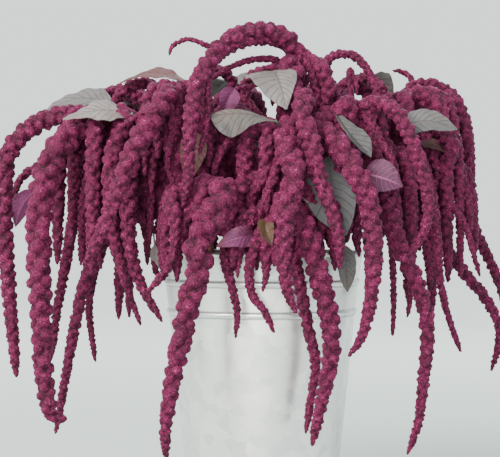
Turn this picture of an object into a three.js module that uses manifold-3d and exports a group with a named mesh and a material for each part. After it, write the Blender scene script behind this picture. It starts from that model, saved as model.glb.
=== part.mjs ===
// A bunch of love-lies-bleeding amaranth, cut with its stems and stood in a tall galvanised bucket of water.
// Millimetres, Z up, origin at the centre of the bucket's flat bottom, front towards -Y.
import * as THREE from 'three';
import { mergeVertices } from 'three/addons/utils/BufferGeometryUtils.js';
import Module from 'manifold-3d';

const wasm = await Module();
wasm.setup();

// Bucket
const BUCKET_HEIGHT = 300;
const BUCKET_BASE_RADIUS = 78;
const BUCKET_TOP_RADIUS = 109;
const WALL = 1.5;
const RIM_ROLL_RADIUS = 2.6;
const RIM_ROLL_TURN = Math.PI * 1.5;
const RIM_ROLL_STEPS = 5;
const BEAD_HEIGHTS = [234, 266];
const BEAD_TALL = 7;
const BEAD_PROUD = 2.4;
const BUCKET_SIDES = 28;

// Water and stems
const WATER_LEVEL = 112;
const GAP = 0.3;
const STEM_RADIUS = 4.6;
const STEM_TOP_RADIUS = 3.4;
const STEM_SIDES = 5;
const FOOT_SPREAD = 0.6;
const STEM_BEND_SHARE = 0.55;
const STEM_RISE = 14;
const STEM_IN_CORE = 40;

// Seed heads: a core round the stem's top, with tassels hanging from it.
// A tube's swell makes up for its few sides, and hollow draws every other ring in. A core's valleys run down
// between its flutes, which are tassels that hang close together.
const CORE_OVER_TOP = 12;
const CORE_BOTTOM = 314;
const CORE_ROUND = { start: 0.12, sweep: 0.8, power: 0.7 };
const CORE_TUBE = { flutes: 5, step: 28, valley: 0.72, hollow: 0.88 };
const THICK_TUBE = { sides: 4, step: 23, swell: 1.12, hollow: 0.88 };
const SLIM_TUBE = { sides: 3, step: 20, swell: 1.2, hollow: 0.92 };
const THICK_FROM = 8.6;
const FEWEST_RINGS = 4;
const ROOT_LENGTH = 10;
const TAPER_POWER = 2.2;
const TIP_LENGTH = 3.2;
const TIP_SHARE = 0.4;
const HEAD_GAP = 0.35;

// Tassels between the ones set out by hand hang in an even spread.
// Each of their places is [share of reach, share of rise, share of drop].
const FILL_ROOT_RADIUS = [7.5, 10.5];
const FILL_TIP_SHARE = 0.5;
const FILL_RISE = 0.18;
const FILL_PLACES = [[0.4, 1, 0], [0.8, 0.4, 0], [1, 0, 0.22], [1.06, 0, 0.6], [1.08, 0, 1]];
const FILL_SEED = 1000;

// How tassels are spread until those of different heads lie clear of each other
const SETTLE_STEP = 10;
const SETTLE_PASSES = 90;
const SETTLE_RENEW = 15;
const SETTLE_CLEAR = 1.4;
const SETTLE_REACH = 34;
const SETTLE_PUSH = 0.6;
const SETTLE_CORE = 0.85;
const ROOT_HOLD = 38;
const TRACED_GIVE = 0.3;
const FILL_GIVE = 1;
const LOWEST_TIP = 62;
const FEWEST_PLACES = 6;

// Leaves
const LEAF_THICK = 0.8;
const PETIOLE_RADIUS = 1.2;
const BLADE_POWER = 0.85;
const BLADE_END = 0.05;
const WAVE = { height: 0.12, along: 9, across: 2 };
const WIDE_LEAF = 50;
const WIDE_GRID = { petiole: 1, blade: 5, half: 2 };
const SMALL_GRID = { petiole: 1, blade: 4, half: 1 };
const SETTLE_GRID = { petiole: 0, blade: 7, half: 2 };
const SETTLE_SKIP = 2;

// Tassels and leaves are set out as they look from eye level in front. A place is [across, back, up]:
// across and up are measured where the line of sight meets the plane of the bucket's axis, and back is
// the true distance behind that plane.
const EYE = { x: -13, z: 324, distance: 1500 };

// Each head: where its stem crosses the bucket's mouth, the top of its stem, the radius of its core, and its
// tassels. A tassel is [radius at its root, radius near its tip, the places that it passes after the top of
// the stem]. Fill is the spread of its other tassels, in degrees seen from above.
const HEADS = [
  {
    name: 'far_left',
    mouth: [-88, -8],
    top: [-165, -10, 440],
    core: 32,
    tassels: [
      [12, 6, [[-205, -10, 449], [-246, -14, 440], [-277, -20, 410], [-284, -20, 360],
        [-280, -20, 280], [-270, -22, 160]]],
      [15.5, 9, [[-197, -40, 436], [-229, -70, 404], [-243, -86, 355], [-245, -90, 290],
        [-242, -90, 215], [-238, -90, 150], [-230, -90, 117], [-214, -90, 115]]],
      [8.5, 4.5, [[-189, 12, 408], [-203, 24, 358], [-215, 28, 290], [-226, 28, 228],
        [-230, 28, 185]]],
      [7, 4, [[-202, 16, 412], [-238, 24, 396], [-264, 26, 380], [-276, 24, 350]]],
      [7.5, 3.5, [[-184, -28, 398], [-196, -36, 350], [-199, -38, 283]]],
      [7.5, 3.5, [[-171, -34, 392], [-177, -42, 340], [-177, -44, 279]]],
    ],
    fill: { count: 2, from: 150, to: 260, reach: [30, 60], drop: [120, 170] },
  },
  {
    name: 'upper_left',
    mouth: [-55, -38],
    top: [-92, -50, 472],
    core: 32,
    tassels: [
      [14, 4.5, [[-103, -85, 467], [-119, -110, 449], [-133, -121, 424], [-150, -126, 388],
        [-167, -129, 343], [-183, -130, 306], [-197, -130, 283]]],
      [11.5, 4, [[-124, -60, 440], [-143, -66, 395], [-147, -70, 345], [-144, -72, 300],
        [-133, -72, 262], [-109, -72, 221]]],
      [6.5, 3.5, [[-112, -22, 445], [-134, 0, 395], [-148, 12, 335], [-150, 16, 270],
        [-133, 16, 217]]],
      [6.5, 3.5, [[-106, -36, 430], [-120, -42, 370], [-123, -44, 310]]],
    ],
    fill: { count: 1, from: 190, to: 250, reach: [20, 45], drop: [100, 150] },
  },
  {
    name: 'top_arch',
    mouth: [24, -12],
    top: [40, -20, 498],
    core: 22,
    tassels: [
      [12, 4.5, [[36, -30, 523], [10, -46, 539], [-20, -62, 538], [-48, -82, 520], [-68, -102, 490],
        [-77, -114, 455], [-80, -119, 415], [-81, -121, 378], [-88, -121, 346]]],
      [6.5, 3, [[28, -32, 524], [-12, -60, 530], [-52, -88, 508], [-60, -97, 482], [-59, -100, 460],
        [-61, -102, 436], [-70, -104, 404]]],
      [6.5, 4, [[12, 2, 500], [-18, 8, 484], [-14, 8, 462], [5, 2, 442]]],
      [7, 4, [[46, -29, 518], [54, -33, 503], [58, -36, 485], [61, -38, 464], [54, -39, 443]]],
      [12, 4.5, [[34, -60, 490], [39, -92, 462], [47, -115, 430], [60, -130, 387], [74, -138, 352],
        [84, -141, 318], [86, -142, 279]]],
    ],
    fill: { count: 1, from: 60, to: 150, reach: [20, 50], drop: [60, 110] },
  },
  {
    name: 'centre',
    mouth: [12, -46],
    top: [20, -60, 428],
    core: 32,
    tassels: [
      [13.6, 4.5, [[27, -100, 420], [36, -136, 392], [31, -149, 362], [25, -153, 320],
        [24, -155, 285], [29, -156, 252], [38, -156, 230]]],
      [5.5, 3, [[-5, -66, 438], [-32, -73, 424], [-48, -79, 400], [-54, -82, 370], [-52, -82, 352]]],
      [6.5, 4, [[8, -84, 402], [-4, -94, 376], [-14, -97, 350], [-21, -97, 320]]],
      [6.5, 4, [[17, -90, 398], [11, -108, 368], [7, -114, 334]]],
    ],
    fill: { count: 2, from: 190, to: 320, reach: [40, 56], drop: [90, 130] },
  },
  {
    name: 'right_loop',
    mouth: [60, -28],
    top: [100, -35, 452],
    core: 33,
    tassels: [
      [14, 4.2, [[80, -75, 442], [86, -104, 418], [99, -122, 392], [113, -130, 368],
        [121, -135, 330], [123, -137, 285], [119, -137, 240], [109, -137, 203], [95, -137, 183]]],
      [6, 3.5, [[84, -32, 466], [71, -28, 492], [72, -26, 508], [86, -26, 516], [102, -26, 513],
        [118, -28, 496], [126, -34, 472], [120, -40, 450], [103, -52, 435]]],
      [9.5, 3.5, [[128, -62, 462], [149, -84, 450], [164, -97, 423], [174, -104, 395],
        [183, -108, 350], [178, -110, 320], [160, -110, 292]]],
      [5.5, 3.5, [[119, -62, 442], [131, -74, 420], [144, -80, 398], [151, -82, 370]]],
      [9.5, 4, [[90, -64, 424], [94, -72, 390], [96, -74, 350], [94, -76, 308]]],
    ],
    fill: { count: 1, from: 240, to: 340, reach: [20, 45], drop: [90, 130] },
  },
  {
    name: 'far_right',
    mouth: [80, 32],
    top: [150, 30, 460],
    core: 32,
    tassels: [
      [7.5, 3.5, [[168, 36, 481], [190, 41, 482], [212, 44, 469], [224, 46, 445], [230, 46, 410],
        [232, 46, 367]]],
      [6.5, 4, [[168, 18, 440], [192, 10, 431], [209, 6, 413], [219, 4, 388], [227, 3, 355],
        [230, 3, 318]]],
      [5.5, 3.2, [[178, 8, 412], [203, -8, 360], [223, -18, 328], [232, -22, 300], [240, -22, 271]]],
      [6.5, 3.5, [[172, -8, 415], [187, -32, 362], [193, -42, 312], [196, -44, 268],
        [205, -44, 228], [219, -44, 188]]],
      [8, 4, [[170, 50, 452], [196, 66, 430], [206, 70, 395], [208, 72, 340]]],
    ],
    fill: { count: 2, from: 10, to: 80, reach: [30, 65], drop: [110, 190] },
  },
  {
    name: 'low_right',
    mouth: [86, -2],
    top: [128, 0, 398],
    core: 31,
    tassels: [
      [9.5, 4, [[160, 26, 385], [184, 38, 345], [203, 42, 302], [224, 42, 274], [248, 42, 244],
        [261, 42, 215], [260, 42, 193], [252, 42, 167]]],
      [8.5, 4.5, [[170, 50, 388], [212, 66, 362], [240, 70, 310], [262, 72, 262], [272, 72, 220],
        [272, 72, 190]]],
      [11, 4, [[138, -48, 352], [152, -78, 302], [168, -90, 270], [179, -94, 237], [182, -95, 200],
        [178, -95, 160], [172, -95, 110], [160, -95, 75]]],
      [7.5, 4, [[141, -38, 380], [149, -54, 340], [152, -58, 298]]],
      [7, 4, [[158, -12, 362], [177, -22, 320], [184, -26, 280], [185, -26, 252]]],
    ],
    fill: { count: 1, from: 0, to: 60, reach: [30, 50], drop: [110, 160] },
  },
  {
    name: 'low_front',
    mouth: [12, -80],
    top: [22, -96, 350],
    core: 31,
    tassels: [
      [13.4, 4.5, [[36, -120, 340], [48, -128, 324], [56, -130, 298], [66, -130, 262],
        [74, -129, 225], [77, -128, 196], [73, -128, 165], [65, -128, 130], [55, -128, 84]]],
      [8, 4, [[28, -112, 320], [36, -116, 288], [44, -116, 250], [51, -114, 215], [59, -110, 175],
        [53, -110, 130], [48, -110, 98]]],
      [7.5, 3, [[-8, -112, 342], [-34, -122, 318], [-39, -124, 285], [-32, -123, 258],
        [-27, -123, 231], [-29, -123, 203]]],
      [6.8, 3.5, [[8, -114, 332], [-10, -126, 308], [-14, -128, 280], [-11, -128, 252],
        [2, -128, 234], [14, -128, 209]]],
      [5.5, 3.5, [[20, -114, 330], [8, -124, 306], [6, -125, 282], [1, -125, 254]]],
    ],
    fill: { count: 2, from: 190, to: 340, reach: [26, 44], drop: [60, 90] },
  },
  {
    name: 'front_left',
    mouth: [-32, -74],
    top: [-40, -90, 362],
    core: 28,
    tassels: [
      [15, 5, [[-44, -124, 364], [-57, -142, 322], [-68, -146, 280], [-80, -147, 242],
        [-90, -148, 196], [-100, -148, 145], [-106, -148, 100], [-105, -148, 68]]],
      [9, 3.4, [[-62, -106, 364], [-80, -116, 338], [-91, -120, 310], [-104, -122, 280],
        [-128, -122, 251]]],
      [6.5, 3.4, [[-74, -84, 384], [-102, -90, 364], [-114, -94, 308]]],
    ],
    fill: { count: 2, from: 170, to: 320, reach: [26, 44], drop: [70, 110] },
  },
  {
    name: 'low_left',
    mouth: [-76, 30],
    top: [-124, 20, 388],
    core: 32,
    tassels: [
      [9, 4, [[-150, 8, 352], [-173, -2, 310], [-193, -6, 270], [-204, -8, 225], [-214, -8, 172],
        [-222, -8, 125], [-227, -8, 98]]],
      [6.8, 3.4, [[-155, 40, 345], [-180, 50, 290], [-190, 52, 240], [-187, 52, 205],
        [-183, 52, 177]]],
      [7.5, 4, [[-140, -12, 366], [-150, -26, 330], [-152, -30, 270]]],
      [7.5, 4, [[-165, 24, 376], [-188, 28, 345], [-194, 30, 290]]],
    ],
    fill: { count: 2, from: 120, to: 170, reach: [25, 55], drop: [130, 190] },
  },
  {
    name: 'middle',
    mouth: [-22, 2],
    top: [-34, 4, 444],
    core: 34,
    tassels: [],
    fill: { count: 4, from: 20, to: 380, reach: [26, 46], drop: [80, 140] },
  },
  {
    name: 'back_left',
    mouth: [-58, 56],
    top: [-124, 72, 458],
    core: 32,
    tassels: [
      [9, 4.5, [[-148, 66, 475], [-176, 60, 470], [-198, 58, 452], [-206, 56, 410]]],
      [8, 4, [[-118, 52, 478], [-134, 34, 484], [-158, 24, 470], [-168, 20, 440]]],
    ],
    fill: { count: 3, from: 75, to: 185, reach: [35, 95], drop: [130, 260] },
  },
  {
    name: 'back_top',
    mouth: [-12, 48],
    top: [-26, 70, 462],
    core: 32,
    tassels: [
      [8, 4, [[-40, 56, 496], [-62, 40, 490], [-66, 36, 460]]],
      [7.5, 4, [[-6, 56, 496], [10, 42, 484], [12, 38, 458]]],
    ],
    fill: { count: 3, from: 60, to: 130, reach: [30, 110], drop: [130, 290] },
  },
  {
    name: 'back_right',
    mouth: [42, 56],
    top: [80, 80, 472],
    core: 32,
    tassels: [
      [8, 4, [[104, 66, 488], [128, 56, 484], [140, 52, 460]]],
      [7.5, 4, [[62, 58, 484], [52, 44, 470], [50, 40, 440]]],
    ],
    fill: { count: 3, from: 5, to: 110, reach: [35, 100], drop: [130, 260] },
  },
  {
    name: 'low_back_left',
    mouth: [-34, 84],
    top: [-56, 112, 402],
    core: 32,
    tassels: [],
    fill: { count: 3, from: 70, to: 165, reach: [30, 85], drop: [120, 260] },
  },
  {
    name: 'low_back_right',
    mouth: [26, 86],
    top: [46, 120, 400],
    core: 32,
    tassels: [],
    fill: { count: 3, from: 15, to: 110, reach: [30, 85], drop: [120, 260] },
  },
];

// Each leaf: the head that it grows from, the base, middle and tip of its midrib, the way across its blade,
// its width, how far it is folded up along the midrib, where it is widest (the less, the nearer its base), and
// how much wider it is on one side of the midrib.
const LEAVES = [
  {
    name: 'grey_left_back',
    head: 'far_left',
    rib: [[-165, 22, 462], [-202, 30, 466], [-240, 30, 451]],
    across: [0, 0.86, 0.5],
    width: 48,
    fold: 0.05,
    widest: 0.75,
  },
  {
    name: 'grey_left_front',
    head: 'far_left',
    rib: [[-142, -48, 451], [-180, -62, 453], [-219, -72, 444]],
    across: [0.05, 0.86, 0.5],
    width: 40,
    fold: 0.02,
    widest: 0.75,
  },
  {
    name: 'brown_left',
    head: 'upper_left',
    rib: [[-84, 4, 485], [-120, 12, 494], [-156, 18, 484]],
    across: [0, 0.92, 0.35],
    width: 34,
    fold: 0.06,
    widest: 0.75,
  },
  {
    name: 'folded_centre',
    head: 'centre',
    rib: [[18, -97, 441], [-18, -98, 450], [-57, -98, 448]],
    across: [0.1, -0.25, -1],
    width: 30,
    fold: 0.04,
    widest: 2.1,
    lean: 0.75,
  },
  {
    name: 'arrow_top',
    head: 'top_arch',
    rib: [[13, -56, 497], [20, -78, 480], [27, -92, 455]],
    across: [1, 0.05, -0.06],
    width: 56,
    fold: 0.06,
    widest: 0.42,
    lean: -0.22,
  },
  {
    name: 'strip_right',
    head: 'right_loop',
    rib: [[77, -62, 458], [95, -84, 430], [120, -100, 402]],
    across: [0.6, 0.7, 0.4],
    width: 24,
    fold: 0.3,
    widest: 1.6,
  },
  {
    name: 'purple_right',
    head: 'right_loop',
    rib: [[113, -90, 384], [134, -98, 379], [155, -100, 370]],
    across: [0.1, 0.35, 0.95],
    width: 38,
    fold: 0.12,
    widest: 0.65,
  },
  {
    name: 'dark_large',
    head: 'right_loop',
    rib: [[74, -66, 402], [78, -98, 358], [92, -110, 316]],
    across: [1, 0.3, 0.1],
    width: 60,
    fold: 0.08,
    widest: 1.0,
    lean: -0.15,
  },
  {
    name: 'rim_right',
    head: 'right_loop',
    rib: [[90, -80, 306], [92, -86, 286], [94, -88, 254]],
    across: [1, 0.5, 0],
    width: 24,
    fold: 0.1,
    widest: 0.75,
  },
  {
    name: 'blue_far_right',
    head: 'far_right',
    rib: [[152, -44, 436], [182, -56, 442], [215, -56, 433]],
    across: [0, 0.5, 0.85],
    width: 30,
    fold: 0.08,
    widest: 0.75,
  },
  {
    name: 'olive_left',
    head: 'upper_left',
    rib: [[-72, -76, 430], [-78, -90, 405], [-82, -96, 374]],
    across: [1, 0.4, 0],
    width: 28,
    fold: 0.2,
    widest: 0.75,
  },
  {
    name: 'purple_front',
    head: 'low_front',
    rib: [[-8, -116, 317], [-28, -134, 313], [-50, -140, 304]],
    across: [0.2, 0.4, 0.9],
    width: 22,
    fold: 0.12,
    widest: 0.75,
  },
  {
    name: 'brown_front',
    head: 'low_front',
    rib: [[4, -124, 334], [4, -136, 322], [11, -138, 305]],
    across: [1, 0.3, 0],
    width: 17,
    fold: 0.2,
    widest: 0.75,
  },
  {
    name: 'pink_far_left',
    head: 'far_left',
    rib: [[-250, 14, 366], [-264, 8, 348], [-271, 4, 326]],
    across: [0.82, 0.6, 0.14],
    width: 24,
    fold: 0.14,
    widest: 0.75,
  },
  {
    name: 'red_far_right',
    head: 'far_right',
    rib: [[170, -14, 417], [186, -20, 416], [201, -22, 408]],
    across: [0, 0.8, 0.5],
    width: 20,
    fold: 0.1,
    widest: 0.75,
  },
  {
    name: 'rim_left',
    head: 'low_left',
    rib: [[-118, -44, 306], [-117, -50, 293], [-111, -53, 279]],
    across: [0.8, -0.6, 0],
    width: 11,
    fold: 0.15,
    widest: 0.75,
  },
  {
    name: 'purple_top',
    head: 'top_arch',
    rib: [[-30, -22, 478], [-38, -30, 464], [-43, -34, 446]],
    across: [1, 0.4, 0],
    width: 22,
    fold: 0.2,
    widest: 0.75,
  },
  {
    name: 'mauve_loop',
    head: 'right_loop',
    rib: [[100, -8, 480], [94, -6, 462], [91, -6, 442]],
    across: [1, 0.5, 0],
    width: 18,
    fold: 0.2,
    widest: 0.75,
  },
  {
    name: 'back_a',
    head: 'back_left',
    rib: [[-140, 96, 462], [-172, 116, 462], [-204, 132, 444]],
    across: [0.5, 0.7, 0.4],
    width: 44,
    fold: 0.15,
    widest: 0.75,
  },
  {
    name: 'back_b',
    head: 'back_top',
    rib: [[-26, 94, 482], [-40, 124, 485], [-56, 154, 468]],
    across: [1, 0.2, 0.1],
    width: 46,
    fold: 0.15,
    widest: 0.75,
  },
  {
    name: 'back_c',
    head: 'back_right',
    rib: [[98, 102, 486], [122, 130, 484], [144, 156, 462]],
    across: [0.8, -0.5, 0.2],
    width: 44,
    fold: 0.15,
    widest: 0.75,
  },
  {
    name: 'back_d',
    head: 'low_back_left',
    rib: [[-62, 136, 416], [-74, 166, 402], [-82, 188, 366]],
    across: [1, 0.2, 0],
    width: 42,
    fold: 0.15,
    widest: 0.75,
  },
  {
    name: 'back_e',
    head: 'low_back_right',
    rib: [[54, 142, 412], [66, 172, 396], [72, 190, 360]],
    across: [1, -0.2, 0],
    width: 42,
    fold: 0.15,
    widest: 0.75,
  },
];

const COLORS = {
  zinc: { color: 0xcfd2d0, roughness: 0.42, metalness: 0.9 },
  water: { color: 0xb9cac8, roughness: 0.05, metalness: 0 },
  stem: { color: 0x7c2b35, roughness: 0.6, metalness: 0 },
  tassel: { color: 0x8e2350, roughness: 0.85, metalness: 0 },
  leaf: { color: 0x8b8d86, roughness: 0.65, metalness: 0 },
};

// Places and curves

function fromFront([across, back, up]) {
  const scale = (EYE.distance + back) / EYE.distance;
  return new THREE.Vector3(EYE.x + (across - EYE.x) * scale, back, EYE.z + (up - EYE.z) * scale);
}

function between([low, high], share) {
  return low + (high - low) * share;
}

function smoothCurve(points) {
  return new THREE.CatmullRomCurve3(points, false, 'centripetal');
}

function spaced(points, step, fewest) {
  const curve = smoothCurve(points);
  return curve.getSpacedPoints(Math.max(fewest, Math.round(curve.getLength() / step)));
}

// Evenly spread numbers from 0 to 1, the same ones for the same seed.
function mulberry32(seed) {
  let state = seed;
  return () => {
    state = (state + 0x6d2b79f5) | 0;
    let mixed = Math.imul(state ^ (state >>> 15), 1 | state);
    mixed = (mixed + Math.imul(mixed ^ (mixed >>> 7), 61 | mixed)) ^ mixed;
    return ((mixed ^ (mixed >>> 14)) >>> 0) / 2 ** 32;
  };
}

// Meshes and solids

function solidFrom(positions, triangles) {
  return new wasm.Manifold(new wasm.Mesh({
    numProp: 3,
    vertProperties: new Float32Array(positions),
    triVerts: new Uint32Array(triangles),
  }));
}

function latheSolid(profile) {
  const lathe = new THREE.LatheGeometry(
    profile.map(([radius, height]) => new THREE.Vector2(radius, height)),
    BUCKET_SIDES,
  );
  lathe.rotateX(Math.PI / 2);
  lathe.deleteAttribute('normal');
  lathe.deleteAttribute('uv');
  const merged = mergeVertices(lathe, 1e-4);
  return solidFrom(merged.attributes.position.array, merged.index.array);
}

// A closed tube whose rings each turn half a corner from the last, so that its surface stands out in knobs
// like the clusters of flowers on a tassel.
function tubeSolid(points, radii, { sides, swell, hollow }) {
  const cornerAt = (ring, corner) => ({
    angle: ((corner + (ring % 2) / 2) / sides) * Math.PI * 2,
    radius: radii[ring] * swell * (ring % 2 ? hollow : 1),
  });
  return ringSolid(points, sides, cornerAt);
}

// A closed tube with valleys between its flutes, a little slimmer at every other ring.
function flutedSolid(points, radii, { flutes, valley, hollow }) {
  const cornerAt = (ring, corner) => ({
    angle: (corner / flutes) * Math.PI,
    radius: radii[ring] * (corner % 2 ? valley : 1) * (ring % 2 ? hollow : 1),
  });
  return ringSolid(points, flutes * 2, cornerAt);
}

function ringSolid(points, sides, cornerAt) {
  const positions = [];
  const triangles = [];
  const normal = new THREE.Vector3(0, -1, 0.2);
  points.forEach((point, ring) => {
    const before = points[Math.max(ring - 1, 0)];
    const after = points[Math.min(ring + 1, points.length - 1)];
    const tangent = after.clone().sub(before).normalize();
    normal.addScaledVector(tangent, -normal.dot(tangent)).normalize();
    const side = tangent.clone().cross(normal);
    for (let corner = 0; corner < sides; corner += 1) {
      const { angle, radius } = cornerAt(ring, corner);
      const place = point.clone();
      place.addScaledVector(normal, Math.cos(angle) * radius);
      place.addScaledVector(side, Math.sin(angle) * radius);
      positions.push(place.x, place.y, place.z);
    }
  });
  for (let ring = 0; ring < points.length - 1; ring += 1) {
    for (let corner = 0; corner < sides; corner += 1) {
      const next = (corner + 1) % sides;
      const low = ring * sides;
      const high = low + sides;
      if (ring % 2) {
        triangles.push(low + corner, low + next, high + next);
        triangles.push(low + corner, high + next, high + corner);
      } else {
        triangles.push(low + corner, low + next, high + corner);
        triangles.push(low + next, high + next, high + corner);
      }
    }
  }
  const last = (points.length - 1) * sides;
  for (let corner = 1; corner < sides - 1; corner += 1) {
    triangles.push(0, corner + 1, corner);
    triangles.push(last, last + corner, last + corner + 1);
  }
  return solidFrom(positions, triangles);
}

function largestPiece(solid) {
  const pieces = solid.decompose();
  return pieces.reduce((best, piece) => (piece.volume() > best.volume() ? piece : best), pieces[0]);
}

function boxesMeet(a, b) {
  const boxA = a.boundingBox();
  const boxB = b.boundingBox();
  return [0, 1, 2].every((axis) => boxA.min[axis] < boxB.max[axis] && boxB.min[axis] < boxA.max[axis]);
}

function cutClear(solid, cutters) {
  const near = cutters.filter((cutter) => boxesMeet(solid, cutter) && solid.intersect(cutter).volume() > 0);
  return near.length ? solid.subtract(wasm.Manifold.union(near)) : solid;
}

function toMesh(name, solid, finish) {
  const data = solid.getMesh();
  const geometry = new THREE.BufferGeometry();
  geometry.setAttribute('position', new THREE.BufferAttribute(data.vertProperties, 3));
  geometry.setIndex(new THREE.BufferAttribute(data.triVerts, 1));
  const mesh = new THREE.Mesh(geometry, new THREE.MeshStandardMaterial(finish));
  mesh.name = name;
  return mesh;
}

// Bucket and water

function wallRadius(height) {
  return BUCKET_BASE_RADIUS + ((BUCKET_TOP_RADIUS - BUCKET_BASE_RADIUS) * height) / BUCKET_HEIGHT;
}

function bucketSolid() {
  const profile = [[0, 0], [BUCKET_BASE_RADIUS, 0]];
  for (const height of BEAD_HEIGHTS) {
    const low = height - BEAD_TALL / 2;
    const high = height + BEAD_TALL / 2;
    profile.push([wallRadius(low), low]);
    profile.push([wallRadius(height) + BEAD_PROUD, height - BEAD_TALL / 6]);
    profile.push([wallRadius(height) + BEAD_PROUD, height + BEAD_TALL / 6]);
    profile.push([wallRadius(high), high]);
  }
  const rollRadius = BUCKET_TOP_RADIUS - WALL + RIM_ROLL_RADIUS;
  const rollHeight = BUCKET_HEIGHT - RIM_ROLL_RADIUS;
  for (let step = 0; step <= RIM_ROLL_STEPS; step += 1) {
    const angle = (step / RIM_ROLL_STEPS) * RIM_ROLL_TURN - Math.PI / 2;
    profile.push([
      rollRadius + Math.cos(angle) * RIM_ROLL_RADIUS,
      rollHeight + Math.sin(angle) * RIM_ROLL_RADIUS,
    ]);
  }
  profile.push([BUCKET_BASE_RADIUS - WALL, WALL], [0, WALL]);
  return latheSolid(profile);
}

function waterSolid(holes) {
  const clear = WALL + GAP * 2;
  const block = latheSolid([
    [0, WALL + GAP],
    [wallRadius(WALL) - clear, WALL + GAP],
    [wallRadius(WATER_LEVEL) - clear, WATER_LEVEL],
    [0, WATER_LEVEL],
  ]);
  return block.subtract(wasm.Manifold.union(holes));
}

// Heads, stems and their tassels

function tasselRadius(rootRadius, tipRadius, share, length) {
  const slim = rootRadius + (tipRadius - rootRadius) * share ** TAPER_POWER;
  const fromTip = (1 - share) * length;
  const rounding = TIP_SHARE + ((1 - TIP_SHARE) * fromTip) / (tipRadius * TIP_LENGTH);
  return slim * Math.min(1, rounding);
}

// A tassel that arches out from the top of its stem and hangs.
function fillRoute(top, angle, reach, drop) {
  return FILL_PLACES.map(([out, rise, down]) => new THREE.Vector3(
    top.x + Math.cos(angle) * reach * out,
    top.y + Math.sin(angle) * reach * out,
    top.z + reach * FILL_RISE * rise - drop * down,
  ));
}

function fillStrand(top, fill, number, draw) {
  const share = (number + draw()) / fill.count;
  const angle = THREE.MathUtils.degToRad(between([fill.from, fill.to], share));
  const reach = between(fill.reach, draw());
  const drop = Math.min(between(fill.drop, draw()), top.z - LOWEST_TIP - 2 * SETTLE_STEP);
  const rootRadius = between(FILL_ROOT_RADIUS, draw());
  return {
    rootRadius,
    tipRadius: rootRadius * FILL_TIP_SHARE,
    give: FILL_GIVE,
    places: [top, ...fillRoute(top, angle, reach, drop)],
  };
}

function tracedStrand(top, [rootRadius, tipRadius, route]) {
  return { rootRadius, tipRadius, give: TRACED_GIVE, places: [top, ...route.map(fromFront)] };
}

function plantHead(head, index) {
  const top = fromFront(head.top);
  const mouth = new THREE.Vector3(...head.mouth, BUCKET_HEIGHT);
  const bend = mouth.clone().lerp(top, STEM_BEND_SHARE);
  bend.z += STEM_RISE;
  const lean = (Math.hypot(mouth.x, mouth.y) * (1 - FOOT_SPREAD)) / BUCKET_HEIGHT;
  const footHeight = WALL + GAP + lean * STEM_RADIUS;
  const foot = new THREE.Vector3(mouth.x * FOOT_SPREAD, mouth.y * FOOT_SPREAD, footHeight);

  const axis = smoothCurve([mouth, bend, top]);
  const axisLength = axis.getLength();
  const coreLength = top.z - CORE_BOTTOM;
  const stemEnd = 1 - Math.max(coreLength - STEM_IN_CORE, coreLength / 4) / axisLength;
  const stemPoints = [foot, mouth, axis.getPointAt(stemEnd / 2), axis.getPointAt(stemEnd)];
  const stemRadii = stemPoints.map((_, at) => (
    between([STEM_RADIUS, STEM_TOP_RADIUS], at / (stemPoints.length - 1))));

  const coreRings = Math.round((coreLength + CORE_OVER_TOP) / CORE_TUBE.step);
  const corePoints = [];
  const coreRadii = [];
  for (let ring = 0; ring <= coreRings; ring += 1) {
    const share = ring / coreRings;
    const along = between([-coreLength, CORE_OVER_TOP], share);
    const place = axis.getPointAt(Math.min(1, 1 + along / axisLength));
    place.z += Math.max(along, 0);
    corePoints.push(place);
    const round = Math.sin(Math.PI * (CORE_ROUND.start + CORE_ROUND.sweep * share));
    coreRadii.push(head.core * round ** CORE_ROUND.power);
  }

  const draw = mulberry32(FILL_SEED + index);
  const strands = head.tassels.map((tassel) => tracedStrand(top, tassel));
  for (let number = 0; number < head.fill.count; number += 1) {
    strands.push(fillStrand(top, head.fill, number, draw));
  }
  for (const strand of strands) {
    strand.points = spaced(strand.places, SETTLE_STEP, FEWEST_PLACES);
    const length = (strand.points.length - 1) * SETTLE_STEP;
    strand.radii = strand.points.map((_, at) => (
      tasselRadius(strand.rootRadius, strand.tipRadius, at / (strand.points.length - 1), length)));
  }
  return { name: head.name, top, stemPoints, stemRadii, corePoints, coreRadii, strands };
}

function stemSolid(plant, extra) {
  const radii = plant.stemRadii.map((radius) => radius + extra);
  return tubeSolid(plant.stemPoints, radii, { sides: STEM_SIDES, swell: 1, hollow: 1 });
}

function strandSolid(strand, extra) {
  const shape = strand.rootRadius > THICK_FROM ? THICK_TUBE : SLIM_TUBE;
  const places = strand.points.slice(Math.round(ROOT_LENGTH / SETTLE_STEP));
  const points = spaced(places, shape.step, FEWEST_RINGS);
  const length = points.length * shape.step;
  const radii = points.map((_, at) => {
    const share = at / (points.length - 1);
    return tasselRadius(strand.rootRadius, strand.tipRadius, share, length) + extra;
  });
  return tubeSolid(points, radii, shape);
}

function headSolid(plant, extra) {
  const core = flutedSolid(plant.corePoints, plant.coreRadii.map((radius) => radius + extra), CORE_TUBE);
  return wasm.Manifold.union([core, ...plant.strands.map((strand) => strandSolid(strand, extra))]);
}

// Leaves

function bladeShare(leaf, along) {
  return Math.max(BLADE_END, Math.sin(Math.PI * along ** leaf.widest) ** BLADE_POWER);
}

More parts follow.
